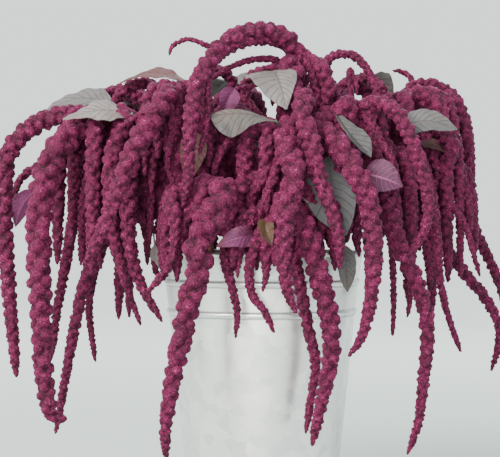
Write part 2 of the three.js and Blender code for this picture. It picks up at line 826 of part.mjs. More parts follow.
// Rows of points across a leaf, first along its petiole and then along its blade. A row has the place and
// the half thickness of each point. The blade is folded up along its rib and waved at its edges.
function leafRows(leaf, root, grid) {
  const [base, middle, tip] = leaf.rib.map(fromFront);
  const rib = smoothCurve([base, middle, tip]);
  const way = new THREE.Vector3(...leaf.across).normalize();
  const rows = [];
  const addRow = (centre, tangent, half, thick, along) => {
    const across = way.clone().addScaledVector(tangent, -way.dot(tangent)).normalize();
    const normal = across.clone().cross(tangent).normalize();
    if (normal.z < 0) {
      normal.negate();
    }
    const row = [];
    for (let column = -grid.half; column <= grid.half; column += 1) {
      const side = column / grid.half;
      const wave = Math.sin(along * WAVE.along + side * WAVE.across + leaf.width) * WAVE.height * side * side;
      const reach = half * (1 + (leaf.lean ?? 0) * side);
      const lift = (Math.abs(side) * leaf.fold * 2 + wave) * reach;
      const place = centre.clone().addScaledVector(across, side * reach).addScaledVector(normal, lift);
      row.push({ place, normal, thick });
    }
    rows.push(row);
  };
  for (let step = 0; step < grid.petiole; step += 1) {
    const centre = root.clone().lerp(base, step / grid.petiole);
    addRow(centre, base.clone().sub(root).normalize(), PETIOLE_RADIUS, PETIOLE_RADIUS, 0);
  }
  for (let step = 0; step <= grid.blade; step += 1) {
    const along = step / grid.blade;
    const half = (leaf.width / 2) * bladeShare(leaf, along);
    addRow(rib.getPointAt(along), rib.getTangentAt(along), half, LEAF_THICK / 2, along);
  }
  return rows;
}

function leafSolid(leaf, root) {
  const rows = leafRows(leaf, root, leaf.width > WIDE_LEAF ? WIDE_GRID : SMALL_GRID);
  const columns = rows[0].length;
  const positions = [];
  for (const way of [1, -1]) {
    for (const { place, normal, thick } of rows.flat()) {
      const point = place.clone().addScaledVector(normal, way * thick);
      positions.push(point.x, point.y, point.z);
    }
  }
  const at = (side, row, column) => (side * rows.length + row) * columns + column;
  const triangles = [];
  for (let row = 0; row < rows.length - 1; row += 1) {
    for (let column = 0; column < columns - 1; column += 1) {
      const [a, b] = [[row, column], [row, column + 1]];
      const [c, d] = [[row + 1, column], [row + 1, column + 1]];
      triangles.push(at(0, ...a), at(0, ...b), at(0, ...c), at(0, ...b), at(0, ...d), at(0, ...c));
      triangles.push(at(1, ...a), at(1, ...c), at(1, ...b), at(1, ...b), at(1, ...c), at(1, ...d));
    }
  }
  const border = [];
  for (let column = 0; column < columns - 1; column += 1) {
    border.push([0, column]);
  }
  for (let row = 0; row < rows.length - 1; row += 1) {
    border.push([row, columns - 1]);
  }
  for (let column = columns - 1; column > 0; column -= 1) {
    border.push([rows.length - 1, column]);
  }
  for (let row = rows.length - 1; row > 0; row -= 1) {
    border.push([row, 0]);
  }
  border.forEach((here, step) => {
    const next = border[(step + 1) % border.length];
    triangles.push(at(0, ...here), at(1, ...here), at(0, ...next));
    triangles.push(at(0, ...next), at(1, ...here), at(1, ...next));
  });
  const solid = solidFrom(positions, triangles);
  return solid.volume() > 0 ? solid : solidFrom(positions, triangles.reverse());
}

// Settling: points of different heads are pushed apart, a little at a time, until the tassels lie beside
// each other. Leaves and cores stay where they are, and so do the tassels' roots.

function fixedPoint(place, radius, head) {
  return { place, radius, head, give: 0, hold: 0 };
}

function collectPoints(plants) {
  const points = [];
  plants.forEach((plant, head) => {
    for (const strand of plant.strands) {
      let run = 0;
      strand.first = points.length;
      strand.points.forEach((place, at) => {
        run += at ? place.distanceTo(strand.points[at - 1]) : 0;
        const hold = Math.min(1, run / ROOT_HOLD);
        points.push({ place, radius: strand.radii[at], head, give: strand.give * hold, hold });
      });
    }
    plant.corePoints.forEach((place, at) => {
      points.push(fixedPoint(place, plant.coreRadii[at] * SETTLE_CORE, head));
    });
  });
  for (const leaf of LEAVES) {
    const rows = leafRows(leaf, fromFront(leaf.rib[0]), SETTLE_GRID);
    for (const { place } of rows.slice(SETTLE_SKIP).flat()) {
      points.push(fixedPoint(place, LEAF_THICK, -1));
    }
  }
  return points;
}

function nearPairs(points) {
  const pairs = [];
  for (let i = 0; i < points.length; i += 1) {
    for (let j = i + 1; j < points.length; j += 1) {
      const [a, b] = [points[i], points[j]];
      if (a.head !== b.head && a.give + b.give > 0) {
        const limit = a.radius + b.radius + SETTLE_REACH;
        if (a.place.distanceToSquared(b.place) < limit * limit) {
          pairs.push([i, j]);
        }
      }
    }
  }
  return pairs;
}

function keepOffBucket({ place, radius }, push) {
  const clear = radius + SETTLE_CLEAR;
  const up = BUCKET_HEIGHT + clear - place.z;
  const radial = Math.hypot(place.x, place.y);
  const out = wallRadius(Math.min(place.z, BUCKET_HEIGHT)) + BEAD_PROUD + clear - radial;
  if (up <= 0 || out <= 0) {
    return;
  }
  if (up < out) {
    push.z += up;
  } else {
    push.x += (place.x / radial) * out;
    push.y += (place.y / radial) * out;
  }
}

function settle(plants) {
  const points = collectPoints(plants);
  let pairs = [];
  for (let pass = 0; pass < SETTLE_PASSES; pass += 1) {
    if (pass % SETTLE_RENEW === 0) {
      pairs = nearPairs(points);
    }
    const pushes = points.map(() => new THREE.Vector3());
    for (const [i, j] of pairs) {
      const [a, b] = [points[i], points[j]];
      const apart = b.place.clone().sub(a.place);
      const distance = apart.length();
      const short = a.radius + b.radius + SETTLE_CLEAR - distance;
      if (short > 0) {
        apart.multiplyScalar((short * SETTLE_PUSH) / (distance * (a.give + b.give)));
        pushes[i].addScaledVector(apart, -a.give);
        pushes[j].addScaledVector(apart, b.give);
      }
    }
    for (const strand of plants.flatMap((plant) => plant.strands)) {
      const own = points.slice(strand.first, strand.first + strand.points.length);
      const moves = pushes.slice(strand.first, strand.first + strand.points.length);
      own.forEach((point, at) => keepOffBucket(point, moves[at]));
      own.forEach(({ place, hold }, at) => {
        place.addScaledVector(moves[at], 0.5 * hold);
        place.addScaledVector(moves[Math.max(at - 1, 0)], 0.25 * hold);
        place.addScaledVector(moves[Math.min(at + 1, moves.length - 1)], 0.25 * hold);
        place.z = Math.max(place.z, LOWEST_TIP);
      });
    }
  }
}

// Assembly. A head is cut clear of every stem and of the heads before it, and a leaf of every head.

const plants = HEADS.map(plantHead);
settle(plants);
const stemCutters = plants.map((plant) => stemSolid(plant, HEAD_GAP));
const headCutters = plants.map((plant) => headSolid(plant, HEAD_GAP));

const group = new THREE.Group();
group.add(toMesh('bucket', bucketSolid(), COLORS.zinc));
group.add(toMesh('water', waterSolid(stemCutters), COLORS.water));
for (const plant of plants) {
  group.add(toMesh(`stem_${plant.name}`, stemSolid(plant, 0), COLORS.stem));
}
plants.forEach((plant, index) => {
  const cut = cutClear(headSolid(plant, 0), [...stemCutters, ...headCutters.slice(0, index)]);
  group.add(toMesh(`head_${plant.name}`, largestPiece(cut), COLORS.tassel));
});
for (const leaf of LEAVES) {
  const plant = plants.find(({ name }) => name === leaf.head);
  const cut = cutClear(leafSolid(leaf, plant.top), [...stemCutters, ...headCutters]);
  group.add(toMesh(`leaf_${leaf.name}`, largestPiece(cut), COLORS.leaf));
}

export default group;
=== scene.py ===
"""A bunch of cut love-lies-bleeding amaranth in a galvanised florist's bucket of water.

Lengths in the tables are millimetres, and everything that is built is in metres, in the part's own frame:
Z up, the origin at the centre of the bucket's flat bottom, and the front towards -Y.
"""

import math

import bpy
import numpy as np
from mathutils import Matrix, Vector, noise


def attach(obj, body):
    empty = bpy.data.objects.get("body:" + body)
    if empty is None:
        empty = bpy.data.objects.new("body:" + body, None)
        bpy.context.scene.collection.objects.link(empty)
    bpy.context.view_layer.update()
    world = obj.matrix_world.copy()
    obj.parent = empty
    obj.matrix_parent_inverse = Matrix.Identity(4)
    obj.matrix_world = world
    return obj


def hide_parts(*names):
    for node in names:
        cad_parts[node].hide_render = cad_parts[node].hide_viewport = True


MM = 0.001

# Bucket
BUCKET_HEIGHT = 300
BUCKET_BASE_RADIUS = 78
BUCKET_TOP_RADIUS = 109
WALL = 1.5
RIM_ROLL_RADIUS = 2.6
BEAD_HEIGHTS = (234, 266)
BEAD_TALL = 7
BEAD_PROUD = 2.4
BUCKET_SIDES = 128

# Stems
STEM_RADIUS = 4.6
STEM_TOP_RADIUS = 3.4
FOOT_SPREAD = 0.6
STEM_BEND_SHARE = 0.55
STEM_RISE = 14
STEM_IN_CORE = 40
CORE_OVER_TOP = 12
CORE_BOTTOM = 314
CORE_STEP = 28
CORE_ROUND = (0.12, 0.8, 0.7)

# Tassels
TAPER_POWER = 2.2
TIP_LENGTH = 3.2
TIP_SHARE = 0.4
FILL_ROOT_RADIUS = (7.5, 10.5)
FILL_TIP_SHARE = 0.5
FILL_RISE = 0.18
FILL_PLACES = ((0.4, 1, 0), (0.8, 0.4, 0), (1, 0, 0.22), (1.06, 0, 0.6), (1.08, 0, 1))
FILL_SEED = 1000
INNER_SEED = 2000

# How tassels of different heads are spread until they lie beside each other
SETTLE_STEP = 10
SETTLE_PASSES = 90
SETTLE_RENEW = 15
SETTLE_CLEAR = 1.4
SETTLE_REACH = 34
SETTLE_PUSH = 0.6
SETTLE_CORE = 0.85
ROOT_HOLD = 38
TRACED_GIVE = 0.3
FILL_GIVE = 1
LOWEST_TIP = 62
FEWEST_PLACES = 6

# Leaves
LEAF_THICK = 0.8
PETIOLE_RADIUS = 1.2
BLADE_POWER = 0.85
BLADE_END = 0.05
WAVE_HEIGHT = 0.12
WAVE_ALONG = 9
WAVE_ACROSS = 2

# Places are (across, back, up) as seen from eye level in front: across and up where the line of sight meets
# the plane of the bucket's axis, and back the true distance behind that plane.
EYE_X = -13
EYE_Z = 324
EYE_DISTANCE = 1500

# Flowers: the spacing of the points on a tassel's skin, how its flowers gather in round lumps, and the size
# of one flower and of its grains
GRAIN = 1.68
FILL_GRAIN = 2.15
THIN_GRAIN = 1.6
CORE_GRAIN = 2.9
CORE_LUMP = 9.0
LUMP_SHARE = 0.54
LUMP_CLOSENESS = 0.42
SKIN_SLACK = 0.56
FLOWER_SIZE = 3.6
FLOWER_HEIGHT = 1.7
FLOWER_ROUGH = 0.4
GRAIN_WIDTH = 1.6
LEAF_GRID = (26, 12)
VEIN_PAIRS = 9


def spread(count, start, end, reach, drop):
    return {"count": count, "from": start, "to": end, "reach": reach, "drop": drop}


def head_row(name, mouth, top, core, tassels, thin, fill, inner):
    return {
        "name": name, "mouth": mouth, "top": top, "core": core,
        "tassels": tassels, "thin": thin, "fill": fill, "inner": inner,
    }


def leaf_row(name, head, rib, across, width, fold, colour, tone, widest, lean=0):
    return {
        "name": name, "head": head, "rib": rib, "across": across, "width": width, "fold": fold,
        "colour": colour, "tone": tone, "widest": widest, "lean": lean,
    }


# Each head: where its stem crosses the bucket's mouth, the top of its stem, the radius of its core, and its
# tassels. A tassel is (radius at its root, radius near its tip, the places that it passes after the top of
# the stem). Thin ones are too slight for the solids. Fill is the spread of its other tassels, in degrees.
# Inner lists short tassels that close the bunch between the others: how many, the sector, reach and drop.
HEADS = [
    head_row(
        "far_left", (-88, -8), (-165, -10, 440), 32,
        [
            (12, 6, [(-205, -10, 449), (-246, -14, 440), (-277, -20, 410), (-284, -20, 360),
                (-280, -20, 280), (-270, -22, 160)]),
            (15.5, 9, [(-197, -40, 436), (-229, -70, 404), (-243, -86, 355), (-245, -90, 290),
                (-242, -90, 215), (-238, -90, 150), (-230, -90, 117), (-214, -90, 115)]),
            (8.5, 4.5, [(-189, 12, 408), (-203, 24, 358), (-215, 28, 290), (-226, 28, 228),
                (-230, 28, 185)]),
            (7, 4, [(-202, 16, 412), (-238, 24, 396), (-264, 26, 380), (-276, 24, 350)]),
            (7.5, 3.5, [(-184, -28, 398), (-196, -36, 350), (-199, -38, 283)]),
            (7.5, 3.5, [(-171, -34, 392), (-177, -42, 340), (-177, -44, 279)]),
        ],
        [],
        spread(2, 150, 260, (30, 60), (120, 170)),
        [spread(4, 215, 340, (26, 48), (70, 120)), spread(3, 195, 290, (30, 62), (120, 190))],
    ),
    head_row(
        "upper_left", (-55, -38), (-92, -50, 472), 32,
        [
            (14, 4.5, [(-103, -85, 467), (-119, -110, 449), (-133, -121, 424), (-150, -126, 388),
                (-167, -129, 343), (-183, -130, 306), (-197, -130, 283)]),
            (11.5, 4, [(-124, -60, 440), (-143, -66, 395), (-147, -70, 345), (-144, -72, 300),
                (-133, -72, 262), (-109, -72, 221)]),
            (6.5, 3.5, [(-112, -22, 445), (-134, 0, 395), (-148, 12, 335), (-150, 16, 270),
                (-133, 16, 217)]),
            (6.5, 3.5, [(-106, -36, 430), (-120, -42, 370), (-123, -44, 310)]),
        ],
        [
            (4.5, 3, [(-105, -88, 468), (-122, -112, 456), (-140, -119, 446), (-157, -121, 435)]),
            (5, 3, [(-92, -76, 450), (-100, -86, 415), (-103, -89, 392), (-95, -91, 368)]),
        ],
        spread(1, 190, 250, (20, 45), (100, 150)),
        [spread(4, 200, 330, (26, 44), (60, 120))],
    ),
    head_row(
        "top_arch", (24, -12), (40, -20, 498), 22,
        [
            (12, 4.5, [(36, -30, 523), (10, -46, 539), (-20, -62, 538), (-48, -82, 520), (-68, -102, 490),
                (-77, -114, 455), (-80, -119, 415), (-81, -121, 378), (-88, -121, 346)]),
            (6.5, 3, [(28, -32, 524), (-12, -60, 530), (-52, -88, 508), (-60, -97, 482), (-59, -100, 460),
                (-61, -102, 436), (-70, -104, 404)]),
            (6.5, 4, [(12, 2, 500), (-18, 8, 484), (-14, 8, 462), (5, 2, 442)]),
            (7, 4, [(46, -29, 518), (54, -33, 503), (58, -36, 485), (61, -38, 464), (54, -39, 443)]),
            (12, 4.5, [(34, -60, 490), (39, -92, 462), (47, -115, 430), (60, -130, 387), (74, -138, 352),
                (84, -141, 318), (86, -142, 279)]),
        ],
        [
            (4, 2.6, [(20, -34, 528), (-26, -60, 530), (-56, -76, 524), (-78, -76, 532), (-97, -74, 526),
                (-102, -74, 514)]),
            (4.5, 3, [(12, -34, 510), (-18, -46, 508), (-44, -56, 496), (-58, -60, 486)]),
            (4, 2.6, [(14, -34, 494), (-12, -48, 480), (-30, -54, 478)]),
        ],
        spread(1, 60, 150, (20, 50), (60, 110)),
        [spread(2, 230, 330, (24, 40), (70, 110))],
    ),
    head_row(
        "centre", (12, -46), (20, -60, 428), 32,
        [
            (13.6, 4.5, [(27, -100, 420), (36, -136, 392), (31, -149, 362), (25, -153, 320),
                (24, -155, 285), (29, -156, 252), (38, -156, 230)]),
            (5.5, 3, [(-5, -66, 438), (-32, -73, 424), (-48, -79, 400), (-54, -82, 370), (-52, -82, 352)]),
            (6.5, 4, [(8, -84, 402), (-4, -94, 376), (-14, -97, 350), (-21, -97, 320)]),
            (6.5, 4, [(17, -90, 398), (11, -108, 368), (7, -114, 334)]),
        ],
        [],
        spread(2, 190, 320, (40, 56), (90, 130)),
        [spread(3, 190, 350, (28, 44), (60, 110))],
    ),
    head_row(
        "right_loop", (60, -28), (100, -35, 452), 33,
        [
            (14, 4.2, [(80, -75, 442), (86, -104, 418), (99, -122, 392), (113, -130, 368), (121, -135, 330),
                (123, -137, 285), (119, -137, 240), (109, -137, 203), (95, -137, 183)]),
            (6, 3.5, [(84, -32, 466), (71, -28, 492), (72, -26, 508), (86, -26, 516), (102, -26, 513),
                (118, -28, 496), (126, -34, 472), (120, -40, 450), (103, -52, 435)]),
            (9.5, 3.5, [(128, -62, 462), (149, -84, 450), (164, -97, 423), (174, -104, 395),
                (183, -108, 350), (178, -110, 320), (160, -110, 292)]),
            (5.5, 3.5, [(119, -62, 442), (131, -74, 420), (144, -80, 398), (151, -82, 370)]),
            (9.5, 4, [(90, -64, 424), (94, -72, 390), (96, -74, 350), (94, -76, 308)]),
        ],
        [
            (4, 2.6, [(96, -28, 500), (103, -30, 485), (105, -30, 470)]),
        ],
        spread(1, 240, 340, (20, 45), (90, 130)),
        [spread(3, 230, 370, (26, 46), (70, 120))],
    ),
    head_row(
        "far_right", (80, 32), (150, 30, 460), 32,
        [
            (7.5, 3.5, [(168, 36, 481), (190, 41, 482), (212, 44, 469), (224, 46, 445), (230, 46, 410),
                (232, 46, 367)]),
            (6.5, 4, [(168, 18, 440), (192, 10, 431), (209, 6, 413), (219, 4, 388), (227, 3, 355),
                (230, 3, 318)]),
            (5.5, 3.2, [(178, 8, 412), (203, -8, 360), (223, -18, 328), (232, -22, 300), (240, -22, 271)]),
            (6.5, 3.5, [(172, -8, 415), (187, -32, 362), (193, -42, 312), (196, -44, 268), (205, -44, 228),
                (219, -44, 188)]),
            (8, 4, [(170, 50, 452), (196, 66, 430), (206, 70, 395), (208, 72, 340)]),
        ],
        [
            (4.5, 3, [(166, 46, 482), (158, 54, 495), (143, 54, 498)]),
        ],
        spread(2, 10, 80, (30, 65), (110, 190)),
        [spread(5, 220, 400, (28, 60), (80, 150)), spread(3, -50, 20, (50, 84), (120, 200))],
    ),
    head_row(
        "low_right", (86, -2), (128, 0, 398), 31,
        [
            (9.5, 4, [(160, 26, 385), (184, 38, 345), (203, 42, 302), (224, 42, 274), (248, 42, 244),
                (261, 42, 215), (260, 42, 193), (252, 42, 167)]),
            (8.5, 4.5, [(170, 50, 388), (212, 66, 362), (240, 70, 310), (262, 72, 262), (272, 72, 220),
                (272, 72, 190)]),
            (11, 4, [(138, -48, 352), (152, -78, 302), (168, -90, 270), (179, -94, 237), (182, -95, 200),
                (178, -95, 160), (172, -95, 110), (160, -95, 75)]),
            (7.5, 4, [(141, -38, 380), (149, -54, 340), (152, -58, 298)]),
            (7, 4, [(158, -12, 362), (177, -22, 320), (184, -26, 280), (185, -26, 252)]),
        ],
        [
            (5, 3, [(138, -22, 340), (144, -30, 285), (145, -32, 240), (144, -32, 205)]),
            (5, 3, [(150, -12, 340), (162, -22, 290), (164, -26, 255), (160, -26, 226)]),
        ],
        spread(1, 0, 60, (30, 50), (110, 160)),
        [spread(4, 240, 380, (26, 50), (60, 120)), spread(4, -30, 45, (55, 104), (90, 165)),
            spread(3, 195, 250, (40, 66), (90, 130))],
    ),
    head_row(
        "low_front", (12, -80), (22, -96, 350), 31,
        [
            (13.4, 4.5, [(36, -120, 340), (48, -128, 324), (56, -130, 298), (66, -130, 262),
                (74, -129, 225), (77, -128, 196), (73, -128, 165), (65, -128, 130), (55, -128, 84)]),
            (8, 4, [(28, -112, 320), (36, -116, 288), (44, -116, 250), (51, -114, 215), (59, -110, 175),
                (53, -110, 130), (48, -110, 98)]),
            (7.5, 3, [(-8, -112, 342), (-34, -122, 318), (-39, -124, 285), (-32, -123, 258),
                (-27, -123, 231), (-29, -123, 203)]),
            (6.8, 3.5, [(8, -114, 332), (-10, -126, 308), (-14, -128, 280), (-11, -128, 252),
                (2, -128, 234), (14, -128, 209)]),
            (5.5, 3.5, [(20, -114, 330), (8, -124, 306), (6, -125, 282), (1, -125, 254)]),
        ],
        [
            (4.5, 3, [(0, -110, 340), (-21, -125, 316), (-25, -128, 292), (-27, -128, 269)]),
        ],
        spread(2, 190, 340, (26, 44), (60, 90)),
        [spread(4, 190, 350, (24, 40), (50, 80)), spread(3, 335, 375, (36, 62), (50, 80))],
    ),
    head_row(
        "front_left", (-32, -74), (-40, -90, 362), 28,
        [
            (15, 5, [(-44, -124, 364), (-57, -142, 322), (-68, -146, 280), (-80, -147, 242),
                (-90, -148, 196), (-100, -148, 145), (-106, -148, 100), (-105, -148, 68)]),
            (9, 3.4, [(-62, -106, 364), (-80, -116, 338), (-91, -120, 310), (-104, -122, 280),
                (-128, -122, 251)]),
            (6.5, 3.4, [(-74, -84, 384), (-102, -90, 364), (-114, -94, 308)]),
        ],
        [
            (5, 3, [(-64, -96, 380), (-72, -98, 350), (-78, -100, 316)]),
        ],
        spread(2, 170, 320, (26, 44), (70, 110)),
        [spread(4, 180, 340, (24, 40), (50, 90)), spread(4, 165, 230, (40, 70), (60, 95))],
    ),
    head_row(
        "low_left", (-76, 30), (-124, 20, 388), 32,
        [
            (9, 4, [(-150, 8, 352), (-173, -2, 310), (-193, -6, 270), (-204, -8, 225), (-214, -8, 172),
                (-222, -8, 125), (-227, -8, 98)]),
            (6.8, 3.4, [(-155, 40, 345), (-180, 50, 290), (-190, 52, 240), (-187, 52, 205),
                (-183, 52, 177)]),
            (7.5, 4, [(-140, -12, 366), (-150, -26, 330), (-152, -30, 270)]),
            (7.5, 4, [(-165, 24, 376), (-188, 28, 345), (-194, 30, 290)]),
        ],
        [],
        spread(2, 120, 170, (25, 55), (130, 190)),
        [spread(4, 180, 320, (26, 46), (60, 120)), spread(4, 160, 250, (40, 75), (80, 135)),
            spread(3, 270, 340, (30, 60), (90, 130))],
    ),
    head_row(
        "middle", (-22, 2), (-34, 4, 444), 34,
        [],
        [],
        spread(4, 20, 380, (26, 46), (80, 140)),
        [],
    ),
    head_row(
        "back_left", (-58, 56), (-124, 72, 458), 32,
        [
            (9, 4.5, [(-148, 66, 475), (-176, 60, 470), (-198, 58, 452), (-206, 56, 410)]),
            (8, 4, [(-118, 52, 478), (-134, 34, 484), (-158, 24, 470), (-168, 20, 440)]),
        ],
        [],
        spread(3, 75, 185, (35, 95), (130, 260)),
        [],
    ),
    head_row(
        "back_top", (-12, 48), (-26, 70, 462), 32,
        [
            (8, 4, [(-40, 56, 496), (-62, 40, 490), (-66, 36, 460)]),
            (7.5, 4, [(-6, 56, 496), (10, 42, 484), (12, 38, 458)]),
        ],
        [],
        spread(3, 60, 130, (30, 110), (130, 290)),
        [],
    ),
    head_row(
        "back_right", (42, 56), (80, 80, 472), 32,
        [
            (8, 4, [(104, 66, 488), (128, 56, 484), (140, 52, 460)]),
            (7.5, 4, [(62, 58, 484), (52, 44, 470), (50, 40, 440)]),
        ],
        [],
        spread(3, 5, 110, (35, 100), (130, 260)),
        [],
    ),
    head_row(
        "low_back_left", (-34, 84), (-56, 112, 402), 32,
        [],
        [],
        spread(3, 70, 165, (30, 85), (120, 260)),
        [],
    ),
    head_row(
        "low_back_right", (26, 86), (46, 120, 400), 32,
        [],
        [],
        spread(3, 15, 110, (30, 85), (120, 260)),
        [],
    ),
]

# Each leaf: the head that it grows from, the base, middle and tip of its midrib, the way across its blade,
# its width, how far it is folded up along the midrib, its colour, and its tone: from dark to pale, and how
# far to slate grey. Widest is where the blade is widest: the less, the nearer its base. Lean is how much
# wider the blade is on one side of the midrib.
LEAVES = [
    leaf_row("grey_left_back", "far_left", [(-165, 22, 462), (-202, 30, 466), (-240, 30, 451)],
        (0, 0.86, 0.5), 48, 0.05, "grey", (0.75, 0.35), 0.75),
    leaf_row("grey_left_front", "far_left", [(-142, -48, 451), (-180, -62, 453), (-219, -72, 444)],
        (0.05, 0.86, 0.5), 40, 0.02, "grey", (1.0, 0), 0.75),
    leaf_row("brown_left", "upper_left", [(-84, 4, 485), (-120, 12, 494), (-156, 18, 484)],
        (0, 0.92, 0.35), 34, 0.06, "brown", (0.8, 0), 0.75),
    leaf_row("folded_centre", "centre", [(18, -97, 441), (-18, -98, 450), (-57, -98, 448)],
        (0.1, -0.25, -1), 30, 0.04, "grey", (0.2, 0), 2.1, 0.75),
    leaf_row("arrow_top", "top_arch", [(13, -56, 497), (20, -78, 480), (27, -92, 455)],
        (1, 0.05, -0.06), 56, 0.06, "grey", (0.8, 0.1), 0.42, -0.22),
    leaf_row("strip_right", "right_loop", [(77, -62, 458), (95, -84, 430), (120, -100, 402)],
        (0.6, 0.7, 0.4), 24, 0.3, "grey", (0.1, 0.1), 1.6),
    leaf_row("purple_right", "right_loop", [(113, -90, 384), (134, -98, 379), (155, -100, 370)],
        (0.1, 0.35, 0.95), 38, 0.12, "purple", (0.15, 0), 0.65),
    leaf_row("dark_large", "right_loop", [(74, -66, 402), (78, -98, 358), (92, -110, 316)],
        (1, 0.3, 0.1), 60, 0.08, "grey", (0.45, 0.35), 1.0, -0.15),
    leaf_row("rim_right", "right_loop", [(90, -80, 306), (92, -86, 286), (94, -88, 254)],
        (1, 0.5, 0), 24, 0.1, "grey", (0.3, 0), 0.75),
    leaf_row("blue_far_right", "far_right", [(152, -44, 436), (182, -56, 442), (215, -56, 433)],
        (0, 0.5, 0.85), 30, 0.08, "grey", (0.35, 0.3), 0.75),
    leaf_row("olive_left", "upper_left", [(-72, -76, 430), (-78, -90, 405), (-82, -96, 374)],
        (1, 0.4, 0), 28, 0.2, "brown", (0.5, 0), 0.75),
    leaf_row("purple_front", "low_front", [(-8, -116, 317), (-28, -134, 313), (-50, -140, 304)],
        (0.2, 0.4, 0.9), 22, 0.12, "purple", (0.45, 0), 0.75),
    leaf_row("brown_front", "low_front", [(4, -124, 334), (4, -136, 322), (11, -138, 305)],
        (1, 0.3, 0), 17, 0.2, "brown", (0.4, 0), 0.75),
    leaf_row("pink_far_left", "far_left", [(-250, 14, 366), (-264, 8, 348), (-271, 4, 326)],
        (0.82, 0.6, 0.14), 24, 0.14, "purple", (1.2, 0), 0.75),
    leaf_row("red_far_right", "far_right", [(170, -14, 417), (186, -20, 416), (201, -22, 408)],
        (0, 0.8, 0.5), 20, 0.1, "brown", (0.1, 0), 0.75),
    leaf_row("rim_left", "low_left", [(-118, -44, 306), (-117, -50, 293), (-111, -53, 279)],
        (0.8, -0.6, 0), 11, 0.15, "grey", (0.9, 0), 0.75),
    leaf_row("purple_top", "top_arch", [(-30, -22, 478), (-38, -30, 464), (-43, -34, 446)],
        (1, 0.4, 0), 22, 0.2, "purple", (0.8, 0), 0.75),
    leaf_row("mauve_loop", "right_loop", [(100, -8, 480), (94, -6, 462), (91, -6, 442)],
        (1, 0.5, 0), 18, 0.2, "purple", (0.6, 0), 0.75),
    leaf_row("back_a", "back_left", [(-140, 96, 462), (-172, 116, 462), (-204, 132, 444)],
        (0.5, 0.7, 0.4), 44, 0.15, "grey", (0.5, 0), 0.75),
    leaf_row("back_b", "back_top", [(-26, 94, 482), (-40, 124, 485), (-56, 154, 468)],
        (1, 0.2, 0.1), 46, 0.15, "grey", (0.4, 0.2), 0.75),
    leaf_row("back_c", "back_right", [(98, 102, 486), (122, 130, 484), (144, 156, 462)],
        (0.8, -0.5, 0.2), 44, 0.15, "grey", (0.8, 0), 0.75),
    leaf_row("back_d", "low_back_left", [(-62, 136, 416), (-74, 166, 402), (-82, 188, 366)],
        (1, 0.2, 0), 42, 0.15, "grey", (0.3, 0.3), 0.75),
    leaf_row("back_e", "low_back_right", [(54, 142, 412), (66, 172, 396), (72, 190, 360)],
        (1, -0.2, 0), 42, 0.15, "grey", (0.5, 0), 0.75),
]

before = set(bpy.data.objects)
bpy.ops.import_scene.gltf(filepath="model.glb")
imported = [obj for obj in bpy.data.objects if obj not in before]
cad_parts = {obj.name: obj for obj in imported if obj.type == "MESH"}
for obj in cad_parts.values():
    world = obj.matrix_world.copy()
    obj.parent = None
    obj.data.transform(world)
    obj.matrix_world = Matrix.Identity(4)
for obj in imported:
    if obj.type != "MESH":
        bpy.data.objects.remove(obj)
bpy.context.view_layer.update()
rng = np.random.default_rng(7)


# Places and curves


def from_front(place):
    across, back, up = place
    scale = (EYE_DISTANCE + back) / EYE_DISTANCE
    return np.array([EYE_X + (across - EYE_X) * scale, back, EYE_Z + (up - EYE_Z) * scale])


def between(limits, share):
    return limits[0] + (limits[1] - limits[0]) * share


class SmoothCurve:
    """A centripetal Catmull-Rom curve that can be read at even distances."""

    SAMPLES = 200

    def __init__(self, points):
        self.points = np.array(points, dtype=float)
        self.times = np.linspace(0, 1, self.SAMPLES + 1)
        places = self.at_time(self.times)
        steps = np.linalg.norm(np.diff(places, axis=0), axis=1)
        self.lengths = np.concatenate([[0], np.cumsum(steps)])
        self.length = self.lengths[-1]

    def at_time(self, times):
        points = self.points
        last = len(points) - 1
        spans = np.minimum(np.floor(times * last).astype(int), last - 1)
        share = (times * last - spans)[:, None]
        before = np.vstack([points[0] * 2 - points[1], points])
        after = np.vstack([points, points[-1] * 2 - points[-2]])
        p0, p1, p2, p3 = before[spans], points[spans], points[spans + 1], after[spans + 2]
        d0 = np.linalg.norm(p1 - p0, axis=1)[:, None] ** 0.5
        d1 = np.linalg.norm(p2 - p1, axis=1)[:, None] ** 0.5
        d2 = np.linalg.norm(p3 - p2, axis=1)[:, None] ** 0.5
        t1 = ((p1 - p0) / d0 - (p2 - p0) / (d0 + d1) + (p2 - p1) / d1) * d1
        t2 = ((p2 - p1) / d1 - (p3 - p1) / (d1 + d2) + (p3 - p2) / d2) * d1
        c2 = -3 * p1 + 3 * p2 - 2 * t1 - t2
        c3 = 2 * p1 - 2 * p2 + t1 + t2
        return p1 + t1 * share + c2 * share**2 + c3 * share**3

    def at(self, shares):
        shares = np.atleast_1d(np.asarray(shares, dtype=float))
        return self.at_time(np.interp(shares * self.length, self.lengths, self.times))

    def spaced(self, step, fewest):
        count = max(fewest, math.floor(self.length / step + 0.5))
        return self.at(np.arange(count + 1) / count)


def seeded_draw(seed):
    """Numbers from 0 to 1, the same ones for the same seed."""
    mask = 0xFFFFFFFF
    state = seed

    def draw():
        nonlocal state
        state = (state + 0x6D2B79F5) & mask
        mixed = ((state ^ (state >> 15)) * (1 | state)) & mask
        mixed = ((mixed + ((mixed ^ (mixed >> 7)) * (61 | mixed))) & mask) ^ mixed
        return (mixed ^ (mixed >> 14)) / 2**32

    return draw


def wall_radius(height):
    return BUCKET_BASE_RADIUS + (BUCKET_TOP_RADIUS - BUCKET_BASE_RADIUS) * height / BUCKET_HEIGHT


# Heads: their stems, cores and tassels


def tassel_radius(root, tip, share, length):
    slim = root + (tip - root) * share**TAPER_POWER
    rounding = TIP_SHARE + (1 - TIP_SHARE) * (1 - share) * length / (tip * TIP_LENGTH)
    return slim * np.minimum(1, rounding)


